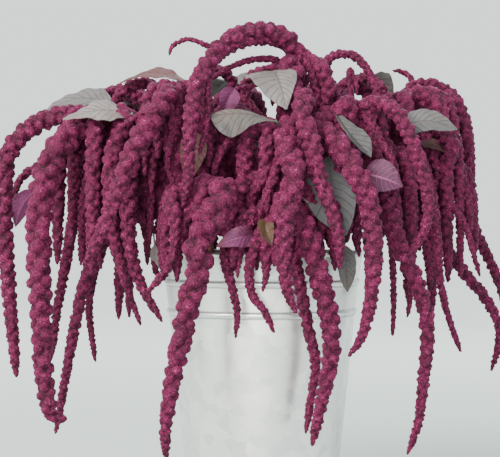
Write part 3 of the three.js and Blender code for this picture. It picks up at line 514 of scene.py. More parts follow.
def fill_strand(top, fill, number, draw):
    share = (number + draw()) / fill["count"]
    angle = math.radians(between((fill["from"], fill["to"]), share))
    reach = between(fill["reach"], draw())
    drop = min(between(fill["drop"], draw()), top[2] - LOWEST_TIP - 2 * SETTLE_STEP)
    root = between(FILL_ROOT_RADIUS, draw())
    places = [top]
    for out, rise, down in FILL_PLACES:
        step = [
            math.cos(angle) * reach * out,
            math.sin(angle) * reach * out,
            reach * FILL_RISE * rise - drop * down,
        ]
        places.append(top + np.array(step))
    return {"root": root, "tip": root * FILL_TIP_SHARE, "give": FILL_GIVE, "places": places}


def traced_strand(top, tassel):
    root, tip, route = tassel
    places = [top] + [from_front(place) for place in route]
    return {"root": root, "tip": tip, "give": TRACED_GIVE, "places": places}


def lay_strand(strand):
    strand["points"] = SmoothCurve(strand["places"]).spaced(SETTLE_STEP, FEWEST_PLACES)
    count = len(strand["points"])
    shares = np.arange(count) / (count - 1)
    length = (count - 1) * SETTLE_STEP
    strand["radii"] = tassel_radius(strand["root"], strand["tip"], shares, length)


def plant_head(head, index):
    top = from_front(head["top"])
    mouth = np.array([*head["mouth"], BUCKET_HEIGHT], dtype=float)
    bend = mouth + (top - mouth) * STEM_BEND_SHARE + np.array([0, 0, STEM_RISE])
    axis = SmoothCurve([mouth, bend, top])
    core_length = top[2] - CORE_BOTTOM
    rings = math.floor((core_length + CORE_OVER_TOP) / CORE_STEP + 0.5)
    shares = np.arange(rings + 1) / rings
    along = between((-core_length, CORE_OVER_TOP), shares)
    core_points = axis.at(np.minimum(1, 1 + along / axis.length))
    core_points[:, 2] += np.maximum(along, 0)
    start, sweep, power = CORE_ROUND
    core_radii = head["core"] * np.sin(np.pi * (start + sweep * shares)) ** power
    draw = seeded_draw(FILL_SEED + index)
    strands = [traced_strand(top, tassel) for tassel in head["tassels"]]
    strands += [fill_strand(top, head["fill"], number, draw) for number in range(head["fill"]["count"])]
    thin = [traced_strand(top, tassel) for tassel in head["thin"]]
    draw = seeded_draw(INNER_SEED + index)
    inner = [
        fill_strand(top, fill, number, draw) for fill in head["inner"] for number in range(fill["count"])
    ]
    for strand in strands + thin + inner:
        lay_strand(strand)
    return {
        "name": head["name"],
        "top": top,
        "mouth": mouth,
        "axis": axis,
        "core": head["core"],
        "core_length": core_length,
        "core_points": core_points,
        "core_radii": core_radii,
        "strands": strands,
        "thin": thin,
        "inner": inner,
    }


# Leaves


def blade_share(leaf, along):
    swell = np.clip(np.sin(np.pi * along ** leaf["widest"]), 0, 1) ** BLADE_POWER
    return np.maximum(BLADE_END, swell)


def unit(vector):
    return vector / np.linalg.norm(vector)


def leaf_frame(leaf, along):
    """The midrib's place, the way across the blade and the way out of it, at one share of the blade."""
    rib = SmoothCurve([from_front(place) for place in leaf["rib"]])
    time = np.interp(along * rib.length, rib.lengths, rib.times)
    near = rib.at_time(np.clip(np.array([time - 1e-4, time + 1e-4]), 0, 1))
    tangent = unit(near[1] - near[0])
    way = unit(np.array(leaf["across"], dtype=float))
    across = unit(way - tangent * way.dot(tangent))
    normal = unit(np.cross(across, tangent))
    if normal[2] < 0:
        normal = -normal
    return rib.at(along)[0], across, normal


def half_width(leaf, along, side):
    return leaf["width"] / 2 * float(blade_share(leaf, along)) * (1 + leaf["lean"] * side)


def blade_lift(leaf, along, side):
    wave = math.sin(along * WAVE_ALONG + side * WAVE_ACROSS + leaf["width"]) * WAVE_HEIGHT * side * side
    return abs(side) * leaf["fold"] * 2 + wave


def leaf_point(leaf, along, side):
    centre, across, normal = leaf_frame(leaf, along)
    half = half_width(leaf, along, side)
    return centre + across * side * half + normal * blade_lift(leaf, along, side) * half


# Settling: the small pushes that the solids were made with, so that each tassel hangs where its solid does.
# The inner tassels are pushed afterwards, and nothing else moves then.


def collect_points(plants, movers):
    """All that may touch. Only the strands that are movers give way."""
    places, radii, heads, gives, holds = [], [], [], [], []

    def add(place, radius, head, give, hold):
        places.append(place)
        radii.append(radius)
        heads.append(head)
        gives.append(give)
        holds.append(hold)

    for head, plant in enumerate(plants):
        for kind in dict.fromkeys(("strands", movers)):
            for strand in plant[kind]:
                strand["first"] = len(places)
                points = strand["points"]
                steps = np.linalg.norm(np.diff(points, axis=0), axis=1)
                runs = np.concatenate([[0], np.cumsum(steps)])
                for place, radius, run in zip(points, strand["radii"], runs):
                    hold = min(1, run / ROOT_HOLD) if kind == movers else 0
                    add(place, radius, head, strand["give"] * hold, hold)
        for place, radius in zip(plant["core_points"], plant["core_radii"]):
            add(place, radius * SETTLE_CORE, head, 0, 0)
    for leaf in LEAVES:
        for row in range(2, 8):
            for column in range(-2, 3):
                add(leaf_point(leaf, row / 7, column / 2), LEAF_THICK, -1, 0, 0)
    return np.array(places), np.array(radii), np.array(heads), np.array(gives), np.array(holds)


def near_pairs(places, radii, heads, gives):
    first, second = [], []
    for index in range(len(places) - 1):
        rest = slice(index + 1, None)
        limit = radii[index] + radii[rest] + SETTLE_REACH
        gap = ((places[rest] - places[index]) ** 2).sum(axis=1)
        keep = (gap < limit**2) & (heads[rest] != heads[index]) & (gives[rest] + gives[index] > 0)
        found = np.nonzero(keep)[0] + index + 1
        first.append(np.full(len(found), index))
        second.append(found)
    return np.concatenate(first), np.concatenate(second)


def bucket_push(places, radii):
    clear = radii + SETTLE_CLEAR
    up = BUCKET_HEIGHT + clear - places[:, 2]
    radial = np.hypot(places[:, 0], places[:, 1])
    out = wall_radius(np.minimum(places[:, 2], BUCKET_HEIGHT)) + BEAD_PROUD + clear - radial
    inside = (up > 0) & (out > 0)
    lift = inside & (up < out)
    aside = inside & ~lift
    push = np.zeros_like(places)
    push[lift, 2] = up[lift]
    push[aside, :2] = places[aside, :2] / radial[aside, None] * out[aside, None]
    return push


def settle(plants, movers):
    places, radii, heads, gives, holds = collect_points(plants, movers)
    count = len(places)
    strands = [strand for plant in plants for strand in plant[movers]]
    for step in range(SETTLE_PASSES):
        if step % SETTLE_RENEW == 0:
            first, second = near_pairs(places, radii, heads, gives)
        apart = places[second] - places[first]
        distance = np.linalg.norm(apart, axis=1)
        short = radii[first] + radii[second] + SETTLE_CLEAR - distance
        close = short > 0
        one, two = first[close], second[close]
        share = short[close] * SETTLE_PUSH / (distance[close] * (gives[one] + gives[two]))
        move = apart[close] * share[:, None]
        pushes = np.zeros((count, 3))
        for axis in range(3):
            pushes[:, axis] -= np.bincount(one, move[:, axis] * gives[one], count)
            pushes[:, axis] += np.bincount(two, move[:, axis] * gives[two], count)
        for strand in strands:
            span = slice(strand["first"], strand["first"] + len(strand["points"]))
            own = pushes[span] + bucket_push(places[span], radii[span])
            before = np.vstack([own[:1], own[:-1]])
            after = np.vstack([own[1:], own[-1:]])
            places[span] += (own * 0.5 + before * 0.25 + after * 0.25) * holds[span, None]
            places[span, 2] = np.maximum(places[span, 2], LOWEST_TIP)
    for strand in strands:
        strand["points"] = places[strand["first"] : strand["first"] + len(strand["points"])]


# Making meshes


def start_piece():
    bpy.ops.object.select_all(action="DESELECT")


def name_piece(name):
    piece = bpy.context.view_layer.objects.active
    piece.name = name
    piece.data.name = name
    return piece


def choose(piece):
    start_piece()
    piece.select_set(True)
    bpy.context.view_layer.objects.active = piece


def apply_modifier(piece, kind, **settings):
    modifier = piece.modifiers.new(kind.title(), kind)
    for key, value in settings.items():
        setattr(modifier, key, value)
    choose(piece)
    bpy.ops.object.modifier_apply(modifier=modifier.name)


def mesh_points(piece):
    flat = np.empty(len(piece.data.vertices) * 3)
    piece.data.vertices.foreach_get("co", flat)
    return flat.reshape(-1, 3)


def lay_points(piece, points):
    piece.data.vertices.foreach_set("co", np.asarray(points, dtype=float).ravel())
    piece.data.update()


def colour_points(piece, values, name="tint"):
    """Four numbers for each point, which the materials read."""
    layer = piece.data.attributes.new(name, "FLOAT_COLOR", "POINT")
    layer.data.foreach_set("color", np.asarray(values, dtype=float).ravel())


def tubes(name, routes, sides_step):
    """Closed round tubes along routes of (points, radii), in one mesh."""
    curve = bpy.data.curves.new(name, "CURVE")
    curve.dimensions = "3D"
    curve.bevel_depth = MM
    curve.bevel_resolution = sides_step
    curve.use_fill_caps = True
    for points, radii in routes:
        spline = curve.splines.new("POLY")
        spline.points.add(len(points) - 1)
        places = np.column_stack([points * MM, np.ones(len(points))])
        spline.points.foreach_set("co", places.ravel())
        spline.points.foreach_set("radius", np.asarray(radii, dtype=float))
    piece = bpy.data.objects.new(name, curve)
    bpy.context.scene.collection.objects.link(piece)
    choose(piece)
    bpy.ops.object.convert(target="MESH")
    return name_piece(name)


# Flowers


def tube_frames(centres):
    """A direction across the tube at each of its rings, turned as little as possible from ring to ring, and
    the direction square to it."""
    ahead = np.gradient(centres, axis=0)
    ahead /= np.linalg.norm(ahead, axis=1)[:, None]
    normals = np.empty_like(centres)
    normal = np.array([0.31, -1.0, 0.23])
    for index, way in enumerate(ahead):
        normal = unit(normal - way * normal.dot(way))
        normals[index] = normal
    return normals, np.cross(ahead, normals)


def grow_lumps(length, radius_at, lump_share, lump_size):
    """Where a tassel's round lumps sit: place along it, angle, radius and distance from its middle."""
    found = []
    run = 0.0
    angle = rng.random() * 6
    while run < length:
        radius = radius_at(run)
        size = (lump_size or radius * lump_share) * rng.uniform(0.84, 1.16)
        away = max(radius * 1.04 - size, radius * 0.2)
        found.append((run, angle, size, away))
        angle += 2.4 + rng.uniform(-0.3, 0.3)
        run += LUMP_CLOSENESS * size * size / away * rng.uniform(0.8, 1.2)
    return np.array(found)


def join_rings(counts, turns):
    """Triangles between rings that have different numbers of points, and over both ends."""
    faces = []
    first = 1
    for j in range(counts[0]):
        faces.append((0, first + (j + 1) % counts[0], first + j))
    for ring in range(len(counts) - 1):
        low, high = counts[ring], counts[ring + 1]
        second = first + low
        shift = turns[ring + 1] - turns[ring]
        i = j = 0
        while i < low or j < high:
            if i < low and (j >= high or (i + 1) / low <= (j + 1) / high + shift):
                faces.append((first + i % low, first + (i + 1) % low, second + j % high))
                i += 1
            else:
                faces.append((first + i % low, second + (j + 1) % high, second + j % high))
                j += 1
        first = second
    last = first + counts[-1]
    for j in range(counts[-1]):
        faces.append((first + j, first + (j + 1) % counts[-1], last))
    return np.array(faces)


def flower_skin(points, radii, grain, lump_share=LUMP_SHARE, lump_size=None, slack=SKIN_SLACK):
    """A tassel's outside: round lumps of tiny flowers with creases between them. The tint's parts are how
    near a point is to a lump's crest, a chance number of its lump, and how near a flower's middle. The
    material paints shade into the creases with the first, and pale points with painted shade between flowers
    with the last."""
    curve = SmoothCurve(points)
    steps = np.linalg.norm(np.diff(points, axis=0), axis=1)
    runs = np.concatenate([[0], np.cumsum(steps)])
    runs *= curve.length / runs[-1]

    def radius_at(run):
        return float(np.interp(run, runs, radii))

    rings = max(5, round(curve.length / (grain * 0.87)))
    shares = (np.arange(rings) + 0.5) / rings
    ring_runs = shares * curve.length
    centres = curve.at(np.concatenate([[0], shares, [1]]))
    normals, sides = tube_frames(centres)
    ring_radii = np.interp(ring_runs, runs, radii)
    edge = np.minimum(ring_runs, curve.length - ring_runs) / np.maximum(ring_radii, 1)
    rounded = np.sqrt(np.clip(1 - (1 - np.clip(edge, 0, 1)) ** 2, 0.05, 1))
    counts = np.maximum(5, np.round(2 * math.pi * ring_radii * (0.4 + 0.6 * rounded) / grain)).astype(int)
    turns = 0.5 * (np.arange(rings) % 2) / counts
    lumps = grow_lumps(curve.length, radius_at, lump_share, lump_size)
    ring_of = np.repeat(np.arange(rings), counts)
    number = np.concatenate([np.arange(count) for count in counts])
    angles = 2 * math.pi * (number / counts[ring_of] + turns[ring_of])
    angles += rng.uniform(-0.3, 0.3, len(angles)) * 2 * math.pi / counts[ring_of]
    places = ring_runs[ring_of] + rng.uniform(-0.28, 0.28, len(angles)) * grain
    reach = np.empty(len(angles))
    owner = np.empty(len(angles), dtype=int)
    for start in range(0, len(angles), 600):
        part = slice(start, start + 600)
        low, high = places[part].min() - 16, places[part].max() + 16
        near = np.flatnonzero((lumps[:, 0] > low) & (lumps[:, 0] < high))
        run, angle, size, away = lumps[near].T
        turn = angles[part, None] - angle
        inside = size**2 - (places[part, None] - run) ** 2 - (away * np.sin(turn)) ** 2
        far = np.where(inside > 0, away * np.cos(turn) + np.sqrt(np.maximum(inside, 0)), 0)
        best = far.argmax(axis=1)
        reach[part] = far[np.arange(len(best)), best]
        owner[part] = near[best]
    full = ring_radii[ring_of]
    reach = np.maximum(reach, full * slack) * rounded[ring_of]
    # How near each point is to its lump's crest. The material darkens the low points with it, as painted
    # shade in the creases between lumps.
    crest = np.clip((reach / full - slack) / (1.0 - slack), 0, 1)
    middle = centres[1:-1][ring_of] + (centres[2:] - centres[:-2])[ring_of] * (
        (places - ring_runs[ring_of]) * rings / curve.length / 2
    )[:, None]
    out = normals[1:-1][ring_of] * np.cos(angles)[:, None] + sides[1:-1][ring_of] * np.sin(angles)[:, None]
    spots = (middle + out * reach[:, None]) / FLOWER_SIZE
    # Each flower's height above the hollows round it. The material makes a flower's middle pale and the
    # hollows darker: partly the flowers' own pale points, partly painted shade.
    flowers = np.array([0.45 - noise.voronoi(spot)[0][0] for spot in spots.tolist()])
    reach += flowers * FLOWER_HEIGHT + rng.uniform(-FLOWER_ROUGH, FLOWER_ROUGH, len(reach))
    skin = np.vstack([centres[:1], middle + out * reach[:, None], centres[-1:]])
    tone = np.ones((len(skin), 4))
    tone[:, 0] = np.concatenate([[0.5], crest, [0.8]])
    tone[:, 1] = np.concatenate([[0.5], rng.random(len(lumps))[owner], [0.5]])
    tone[:, 2] = np.concatenate([[0.5], np.clip(flowers + 0.5, 0, 1), [0.5]])
    return skin, join_rings(counts, turns), tone


def join_skins(name, skins):
    starts = np.cumsum([0] + [len(points) for points, _, _ in skins[:-1]])
    points = np.vstack([skin[0] for skin in skins])
    faces = np.vstack([skin[1] + start for skin, start in zip(skins, starts)]).ravel()
    mesh = bpy.data.meshes.new(name)
    mesh.vertices.add(len(points))
    mesh.vertices.foreach_set("co", (points * MM).ravel())
    mesh.loops.add(len(faces))
    mesh.loops.foreach_set("vertex_index", faces)
    mesh.polygons.add(len(faces) // 3)
    mesh.polygons.foreach_set("loop_start", np.arange(0, len(faces), 3))
    mesh.update(calc_edges=True)
    piece = bpy.data.objects.new(name, mesh)
    bpy.context.scene.collection.objects.link(piece)
    colour_points(piece, np.vstack([skin[2] for skin in skins]))
    return piece


def make_head(plant):
    """One seed head: its long tassels, and the close lumps of flowers round the end of its stem."""
    skins = [flower_skin(plant["core_points"], plant["core_radii"], CORE_GRAIN, lump_size=CORE_LUMP)]
    for strand in plant["strands"] + plant["inner"]:
        grain = FILL_GRAIN if strand["give"] == FILL_GIVE else GRAIN
        skins.append(flower_skin(strand["points"], strand["radii"], grain))
    for strand in plant["thin"]:
        skins.append(flower_skin(strand["points"], strand["radii"], THIN_GRAIN, slack=0.35))
    piece = join_skins("seed_head_" + plant["name"], skins)
    dress(piece, flower_material)
    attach(piece, "root")
    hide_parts("head_" + plant["name"])
    return piece


# Stems, leaves, bucket


def make_stem(plant):
    mouth, axis = plant["mouth"], plant["axis"]
    lean = math.hypot(mouth[0], mouth[1]) * (1 - FOOT_SPREAD) / BUCKET_HEIGHT
    foot = np.array([mouth[0] * FOOT_SPREAD, mouth[1] * FOOT_SPREAD, WALL + 0.3 + lean * STEM_RADIUS])
    shallow = max(plant["core_length"] - STEM_IN_CORE, plant["core_length"] / 4)
    end = 1 - shallow / axis.length
    upper = axis.at(np.linspace(0, end, 6))
    lower = foot + (mouth - foot) * np.linspace(0, 1, 6)[:-1, None]
    points = np.vstack([lower, upper])
    radii = np.linspace(STEM_RADIUS, STEM_TOP_RADIUS, len(points))
    piece = tubes("cut_stem_" + plant["name"], [(points, radii)], 3)
    bpy.ops.object.shade_smooth_by_angle(angle=math.radians(50))
    dress(piece, stem_material)
    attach(piece, "root")
    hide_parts("stem_" + plant["name"])


def make_leaf(leaf, plant):
    start_piece()
    rows, columns = LEAF_GRID
    bpy.ops.mesh.primitive_grid_add(x_subdivisions=rows, y_subdivisions=columns, size=2)
    name = "dried_leaf_" + leaf["name"]
    blade = name_piece(name)
    flat = mesh_points(blade)
    places = np.empty_like(flat)
    frames = {}
    for index, (x, side, _) in enumerate(flat):
        along = (x + 1) / 2
        key = round(along, 4)
        if key not in frames:
            frames[key] = leaf_frame(leaf, along)
        centre, across, normal = frames[key]
        half = half_width(leaf, along, side)
        ripple = math.sin(along * 31 + side * 3 + leaf["width"]) * 0.05 * side * side
        vein = (along - 0.22 * abs(side)) * VEIN_PAIRS
        quilt = 0.09 * math.sin(math.pi * (vein % 1)) * (1 - side * side)
        rib = -0.05 * math.exp(-((side * 9) ** 2))
        lift = blade_lift(leaf, along, side) + ripple + quilt + rib
        places[index] = centre + across * side * half + normal * lift * half
    lay_points(blade, places * MM)
    apply_modifier(blade, "SOLIDIFY", thickness=LEAF_THICK * MM, offset=0.0)
    base = from_front(leaf["rib"][0])
    root = plant["top"]
    sag = (root + base) / 2 - np.array([0, 0, 3])
    petiole_route = SmoothCurve([root, sag, base, leaf_point(leaf, 0.1, 0)]).spaced(6, 5)
    petiole_radii = np.linspace(PETIOLE_RADIUS * 1.3, PETIOLE_RADIUS * 0.8, len(petiole_route))
    petiole = tubes(name + "_petiole", [(petiole_route, petiole_radii)], 1)
    choose(petiole)
    blade.select_set(True)
    bpy.context.view_layer.objects.active = blade
    bpy.ops.object.join()
    tone = np.zeros((len(blade.data.vertices), 4))
    tone[:, 0], tone[:, 1] = leaf["tone"]
    colour_points(blade, tone, "tone")
    choose(blade)
    bpy.ops.object.shade_smooth_by_angle(angle=math.radians(60))
    dress(blade, leaf_materials[leaf["colour"]])
    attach(blade, "root")
    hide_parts("leaf_" + leaf["name"])


def bucket_profile():
    """Radius and height from the rim of the base, up the outside, over the rolled rim and down the inside."""
    profile = [(74.5, 0), (77.3, 0), (78.0, 0.7), (wall_radius(5), 5)]
    for height in (60, 120, 180):
        profile.append((wall_radius(height), height))
    for height in BEAD_HEIGHTS:
        for share in np.linspace(-1, 1, 9):
            proud = BEAD_PROUD * math.cos(share * math.pi / 2) ** 0.8 if abs(share) < 1 else 0
            level = height + share * BEAD_TALL / 2
            profile.append((wall_radius(level) + proud, level))
    roll_radius = BUCKET_TOP_RADIUS - WALL + RIM_ROLL_RADIUS
    roll_height = BUCKET_HEIGHT - RIM_ROLL_RADIUS
    for step in range(13):
        angle = math.pi * (-0.5 + 1.5 * step / 12)
        radius = roll_radius + math.cos(angle) * RIM_ROLL_RADIUS
        profile.append((radius, roll_height + math.sin(angle) * RIM_ROLL_RADIUS))
    for height in (240, 160, 80, 6):
        profile.append((wall_radius(height) - WALL, height))
    profile.append((BUCKET_BASE_RADIUS - WALL, WALL))
    return profile


def make_bucket():
    profile = bucket_profile()
    radius, height = 73.5, 0.5
    start_piece()
    bpy.ops.mesh.primitive_circle_add(
        vertices=BUCKET_SIDES, radius=radius * MM, fill_type="NGON", location=(0, 0, height * MM)
    )
    bpy.ops.object.transform_apply(location=True)
    bpy.ops.object.mode_set(mode="EDIT")
    bpy.ops.mesh.select_all(action="SELECT")
    bpy.ops.mesh.region_to_loop()
    for next_radius, next_height in profile:
        rise = (next_height - height) * MM
        bpy.ops.mesh.extrude_edges_move(TRANSFORM_OT_translate={"value": (0, 0, rise)})
        spread = next_radius / radius
        bpy.ops.transform.resize(value=(spread, spread, 1), center_override=(0, 0, next_height * MM))
        radius, height = next_radius, next_height
    bpy.ops.mesh.edge_face_add()
    bpy.ops.mesh.select_all(action="SELECT")
    bpy.ops.mesh.normals_make_consistent(inside=False)
    bpy.ops.object.mode_set(mode="OBJECT")
    piece = name_piece("florists_bucket")
    choose(piece)
    bpy.ops.object.shade_smooth_by_angle(angle=math.radians(32))
    dress(piece, zinc_material)
    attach(piece, "root")
    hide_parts("bucket")
    return piece


# Materials


def hex_colour(text):
    """sRGB hex to the linear colour that nodes take."""
    parts = [int(text[at : at + 2], 16) / 255 for at in (1, 3, 5)]
    linear = [part / 12.92 if part <= 0.04045 else ((part + 0.055) / 1.055) ** 2.4 for part in parts]
    return (*linear, 1.0)


def new_material(name):
    material = bpy.data.materials.new(name)
    material.use_nodes = True
    return material, material.node_tree.nodes["Principled BSDF"]


def add_node(material, kind, settings=(), inputs=()):
    """Adds a node, sets its settings, and gives its inputs values or links them to other nodes' outputs."""
    node = material.node_tree.nodes.new("ShaderNode" + kind)
    for key, value in dict(settings).items():
        setattr(node, key, value)
    for key, value in dict(inputs).items():
        if isinstance(value, bpy.types.NodeSocket):
            material.node_tree.links.new(value, node.inputs[key])
        else:
            node.inputs[key].default_value = value
    return node


def set_ramp(ramp, stops):
    elements = ramp.color_ramp.elements
    while len(elements) < len(stops):
        elements.new(0.5)
    for element, (place, colour) in zip(elements, stops):
        element.position = place
        element.color = hex_colour(colour)


def dress(piece, material):
    piece.data.materials.clear()
    piece.data.materials.append(material)


def math_step(material, operation, *values):
    return add_node(material, "Math", {"operation": operation}, dict(enumerate(values))).outputs[0]


def rescale(material, value, source=(0.0, 1.0), target=(0.0, 1.0), settings=()):
    limits = {"From Min": source[0], "From Max": source[1], "To Min": target[0], "To Max": target[1]}
    return add_node(material, "MapRange", settings, {"Value": value, **limits}).outputs[0]


def cloud(material, vector, scale, detail):
    return add_node(
        material, "TexNoise", inputs={"Vector": vector, "Scale": scale, "Detail": detail}
    ).outputs["Fac"]


def blend(material, share, first, second):
    return add_node(material, "Mix", {"data_type": "RGBA"}, {0: share, 6: first, 7: second}).outputs[2]


def ramp(material, level, stops):
    node = add_node(material, "ValToRGB", inputs={"Fac": level})
    set_ramp(node, stops)
    return node.outputs["Color"]


def object_place(material):
    return add_node(material, "TexCoord").outputs["Object"]


def finish(material, surface, colour, relief=None, strength=0.0, depth=0.0, **numbers):
    """Joins the colour and the relief to the surface, and sets its plain numbers on its own sockets."""
    links = material.node_tree.links
    links.new(colour, surface.inputs["Base Color"])
    if relief is not None:
        bump = add_node(material, "Bump", inputs={"Height": relief, "Strength": strength, "Distance": depth})
        links.new(bump.outputs["Normal"], surface.inputs["Normal"])
    for name, value in numbers.items():
        surface.inputs[name.replace("_", " ")].default_value = value
    return material


def flower_finish():
    """Amaranth flowers: dry papery grains under 2 mm across, crimson with pale pink points, with painted
    shade in the creases between their lumps and in the gaps between grains and flowers, and with a mauve
    bloom where they are seen edge on."""
    material, surface = new_material("amaranth_flowers")
    tint = add_node(material, "Attribute", {"attribute_name": "tint"})
    parts = add_node(material, "SeparateColor", inputs={"Color": tint.outputs["Color"]}).outputs
    place = object_place(material)
    scale = 1 / (GRAIN_WIDTH * MM)
    grains = add_node(material, "TexVoronoi", inputs={"Vector": place, "Scale": scale}).outputs["Distance"]
    # Grains are pale in their middles, which are their own pale points, and darker towards their edges, which
    # is painted shade in the gaps between grains. The same pattern is the bump.
    point = rescale(material, grains, (0.0, 0.7), (0.34, -0.26))
    shift = rescale(material, cloud(material, place, 90.0, 2.0), (0.3, 0.7), (-0.07, 0.07))
    # Painted shade: darker where a point lies low in a crease between lumps.
    crest = rescale(material, parts["Red"], target=(0.22, 0.42))
    # Pale at a flower's middle, its own pale point, and darker in the hollows between flowers, which is
    # painted shade.
    flower = rescale(material, parts["Blue"], (0.2, 0.9), (-0.1, 0.14))
    level = crest
    for part in (flower, shift, point):
        level = math_step(material, "ADD", level, part)
    stops = [(0.0, "#220212"), (0.2, "#450427"), (0.42, "#570a34"), (0.62, "#6a2049"), (0.9, "#cf98ba")]
    bright = rescale(material, parts["Green"], target=(0.82, 1.16))
    varied = add_node(
        material, "HueSaturation", inputs={"Color": ramp(material, level, stops), "Value": bright}
    )
    return finish(
        material, surface, varied.outputs["Color"], point, 0.5, 0.0012, Roughness=0.75,
        Specular_IOR_Level=0.2, Sheen_Weight=0.14, Sheen_Roughness=0.4, Sheen_Tint=hex_colour("#d07ab0"),
    )


def leaf_finish(name, dark, pale, vein, blotch):
    """Drying amaranth leaf: a dull, leathery skin between raised veins, with blotches where it has turned."""
    material, surface = new_material(name)
    uv = add_node(material, "UVMap")
    spread_out = add_node(material, "SeparateXYZ", inputs={"Vector": uv.outputs["UV"]}).outputs
    side = rescale(material, spread_out["Y"], target=(-1.0, 1.0), settings={"clamp": False})
    out = math_step(material, "ABSOLUTE", side)
    phase = math_step(material, "ADD", spread_out["X"], math_step(material, "MULTIPLY", out, -0.22))
    place = object_place(material)
    drift = math_step(material, "MULTIPLY_ADD", cloud(material, place, 60.0, 2.0), 0.05, phase)
    pairs = math_step(material, "MULTIPLY", drift, float(VEIN_PAIRS))
    saw = math_step(material, "PINGPONG", pairs, 0.5)
    side_vein = rescale(material, saw, (0.0, 0.11), (1.0, 0.0))
    mid_vein = rescale(material, out, (0.02, 0.08), (1.0, 0.0))
    veins = math_step(material, "MAXIMUM", side_vein, mid_vein)
    tone = add_node(material, "Attribute", {"attribute_name": "tone"})
    tones = add_node(material, "SeparateColor", inputs={"Color": tone.outputs["Color"]}).outputs
    mottle = cloud(material, place, 140.0, 4.0)
    level = rescale(material, math_step(material, "MULTIPLY_ADD", mottle, 0.5, tones["Red"]), (0.15, 1.35))
    skin = blend(material, level, hex_colour(dark), hex_colour(pale))
    turned = rescale(material, cloud(material, place, 26.0, 3.0), (0.52, 0.68), (0.0, 0.7))
    patched = blend(material, turned, skin, hex_colour(blotch))
    cooled = blend(material, tones["Green"], patched, hex_colour("#464c50"))
    vein_share = math_step(material, "MULTIPLY", veins, 0.5)
    veined = blend(material, vein_share, cooled, hex_colour(vein))
    relief = math_step(material, "MULTIPLY_ADD", veins, 0.8, cloud(material, place, 420.0, 3.0))
    return finish(material, surface, veined, relief, 0.7, 0.001, Roughness=0.6, Specular_IOR_Level=0.35)


def stem_finish():
    """Cut amaranth stem: fleshy and ridged, red with green showing through in long streaks."""
    material, surface = new_material("amaranth_stem")
    stretch = add_node(
        material, "Mapping", inputs={"Vector": object_place(material), "Scale": (1.0, 1.0, 0.06)}
    )
    streaks = cloud(material, stretch.outputs["Vector"], 500.0, 3.0)
    stops = [(0.32, "#5a1626"), (0.5, "#8c3040"), (0.62, "#8a6a44"), (0.75, "#8f8f58")]
    return finish(
        material, surface, ramp(material, streaks, stops), streaks, 0.6, 0.0006, Roughness=0.45
    )


def zinc_finish():
    """Hot-dipped galvanised steel: a satin grey skin broken into spangles 8 to 20 mm across, with painted
    shade:
    darker lines along the edges of its beads."""
    material, surface = new_material("galvanised_steel")
    place = object_place(material)
    warp = add_node(material, "TexNoise", inputs={"Vector": place, "Scale": 40.0, "Detail": 2.0})
    bent = add_node(
        material, "Mix", {"data_type": "VECTOR"}, {0: 0.02, 4: place, 5: warp.outputs["Color"]}
    )
    spangle = add_node(material, "TexVoronoi", inputs={"Vector": bent.outputs[1], "Scale": 75.0})
    grey = add_node(material, "SeparateColor", inputs={"Color": spangle.outputs["Color"]}).outputs
    clean = ramp(material, grey["Red"], [(0.0, "#d2d4d6"), (0.5, "#dcdddd"), (1.0, "#e8e8e6")])
    dull = rescale(material, cloud(material, place, 14.0, 4.0), (0.3, 0.7), (0.0, 0.08))
    level = add_node(material, "SeparateXYZ", inputs={"Vector": place}).outputs["Z"]
    # Painted shade: thin darker lines along the upper and lower edges of each bead.
    painted_bead_shade = None
    for height in BEAD_HEIGHTS:
        away = math_step(material, "ABSOLUTE", math_step(material, "SUBTRACT", level, height * MM))
        line = math_step(material, "COMPARE", away, BEAD_TALL / 2 * MM, 0.9 * MM)
        painted_bead_shade = line if painted_bead_shade is None else math_step(material, "MAXIMUM", painted_bead_shade, line)
    painted_bead_shade_share = math_step(material, "MULTIPLY", painted_bead_shade, 0.45)
    metal = blend(material, painted_bead_shade_share, clean, hex_colour("#7d8284"))
    rough = math_step(material, "ADD", rescale(material, grey["Green"], target=(0.26, 0.36)), dull)
    material.node_tree.links.new(rough, surface.inputs["Roughness"])
    return finish(material, surface, metal, grey["Blue"], 0.08, 0.0004, Metallic=0.85)


def water_finish():
    """Still water, a little clouded by the stems."""
    material, surface = new_material("still_water")
    murk = cloud(material, object_place(material), 22.0, 3.0)
    rough = rescale(material, murk, target=(0.02, 0.08))
    material.node_tree.links.new(rough, surface.inputs["Roughness"])
    colour = ramp(material, murk, [(0.3, "#c2d2c8"), (0.7, "#dce6e0")])
    return finish(material, surface, colour, IOR=1.333, Transmission_Weight=0.85)


def floor_finish():
    """Matt paper floor with painted shade: darker near the bucket, paler further away."""
    material, surface = new_material("matt_paper_floor")
    away = add_node(
        material, "VectorMath", {"operation": "LENGTH"}, {0: object_place(material)}
    ).outputs["Value"]
    # Painted shade round the bucket: the floor is darker near its middle, where the bucket stands.
    share = rescale(material, away, (0.3, 3.5), settings={"interpolation_type": "SMOOTHSTEP"})
    shade = blend(material, share, hex_colour("#b4beb9"), hex_colour("#f6fbf9"))
    return finish(material, surface, shade, Roughness=0.9, Specular_IOR_Level=0.1)


# Camera, light and what stands round the bunch


def set_camera():
    data = bpy.data.cameras.new("eye_level")
    data.sensor_width = 36.0
    data.lens = 36.0 * EYE_DISTANCE / 550
    eye = bpy.data.objects.new("eye_level", data)
    bpy.context.scene.collection.objects.link(eye)
    eye.location = (EYE_X * MM, -EYE_DISTANCE * MM, EYE_Z * MM)
    eye.rotation_euler = (math.radians(90), 0, 0)
    bpy.context.scene.camera = eye


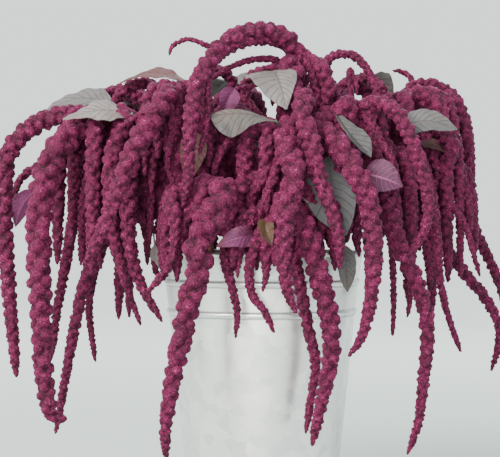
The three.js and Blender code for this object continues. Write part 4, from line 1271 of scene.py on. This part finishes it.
def add_lamp(name, place, aim, width, watts, colour):
    data = bpy.data.lights.new(name, "AREA")
    data.shape = "RECTANGLE"
    data.size = width
    data.size_y = width
    data.energy = watts
    data.color = hex_colour(colour)[:3]
    lamp = bpy.data.objects.new(name, data)
    bpy.context.scene.collection.objects.link(lamp)
    lamp.location = place
    lamp.rotation_euler = (Vector(aim) - Vector(place)).to_track_quat("-Z", "Y").to_euler()


def set_stage():
    start_piece()
    bpy.ops.mesh.primitive_circle_add(vertices=96, radius=6, fill_type="NGON")
    floor = name_piece("floor")
    dress(floor, floor_finish())
    world = bpy.data.worlds.new("pale_room")
    world.use_nodes = True
    world.node_tree.nodes["Background"].inputs["Color"].default_value = hex_colour("#dfe8e6")
    world.node_tree.nodes["Background"].inputs["Strength"].default_value = 1.85
    bpy.context.scene.world = world
    add_lamp("window", (-1.5, -1.7, 1.9), (0, 0, 0.3), 1.6, 200, "#fff8f0")
    add_lamp("doorway", (-0.35, -2.4, 0.5), (0, 0, 0.2), 0.7, 45, "#fffaf2")
    add_lamp("room", (1.9, -1.2, 1.2), (0, 0, 0.3), 1.4, 16, "#eef4ff")
    add_lamp("behind", (0.5, 1.8, 1.8), (0, 0, 0.3), 1.4, 30, "#f4fbff")


# Assembly

flower_material = flower_finish()
leaf_materials = {
    "grey": leaf_finish("grey_amaranth_leaf", "#222626", "#716a6a", "#3a2a31", "#564a45"),
    "purple": leaf_finish("purple_amaranth_leaf", "#29051f", "#74325f", "#a35c84", "#5c2a2c"),
    "brown": leaf_finish("brown_amaranth_leaf", "#260f10", "#5c353a", "#3a1c1e", "#46361f"),
}
stem_material = stem_finish()
zinc_material = zinc_finish()

set_camera()
set_stage()

heads = [plant_head(head, index) for index, head in enumerate(HEADS)]
settle(heads, "strands")
settle(heads, "inner")
for head in heads:
    make_head(head)
    make_stem(head)
for leaf in LEAVES:
    make_leaf(leaf, next(head for head in heads if head["name"] == leaf["head"]))
make_bucket()
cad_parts["water"].material_slots[0].material = water_finish()
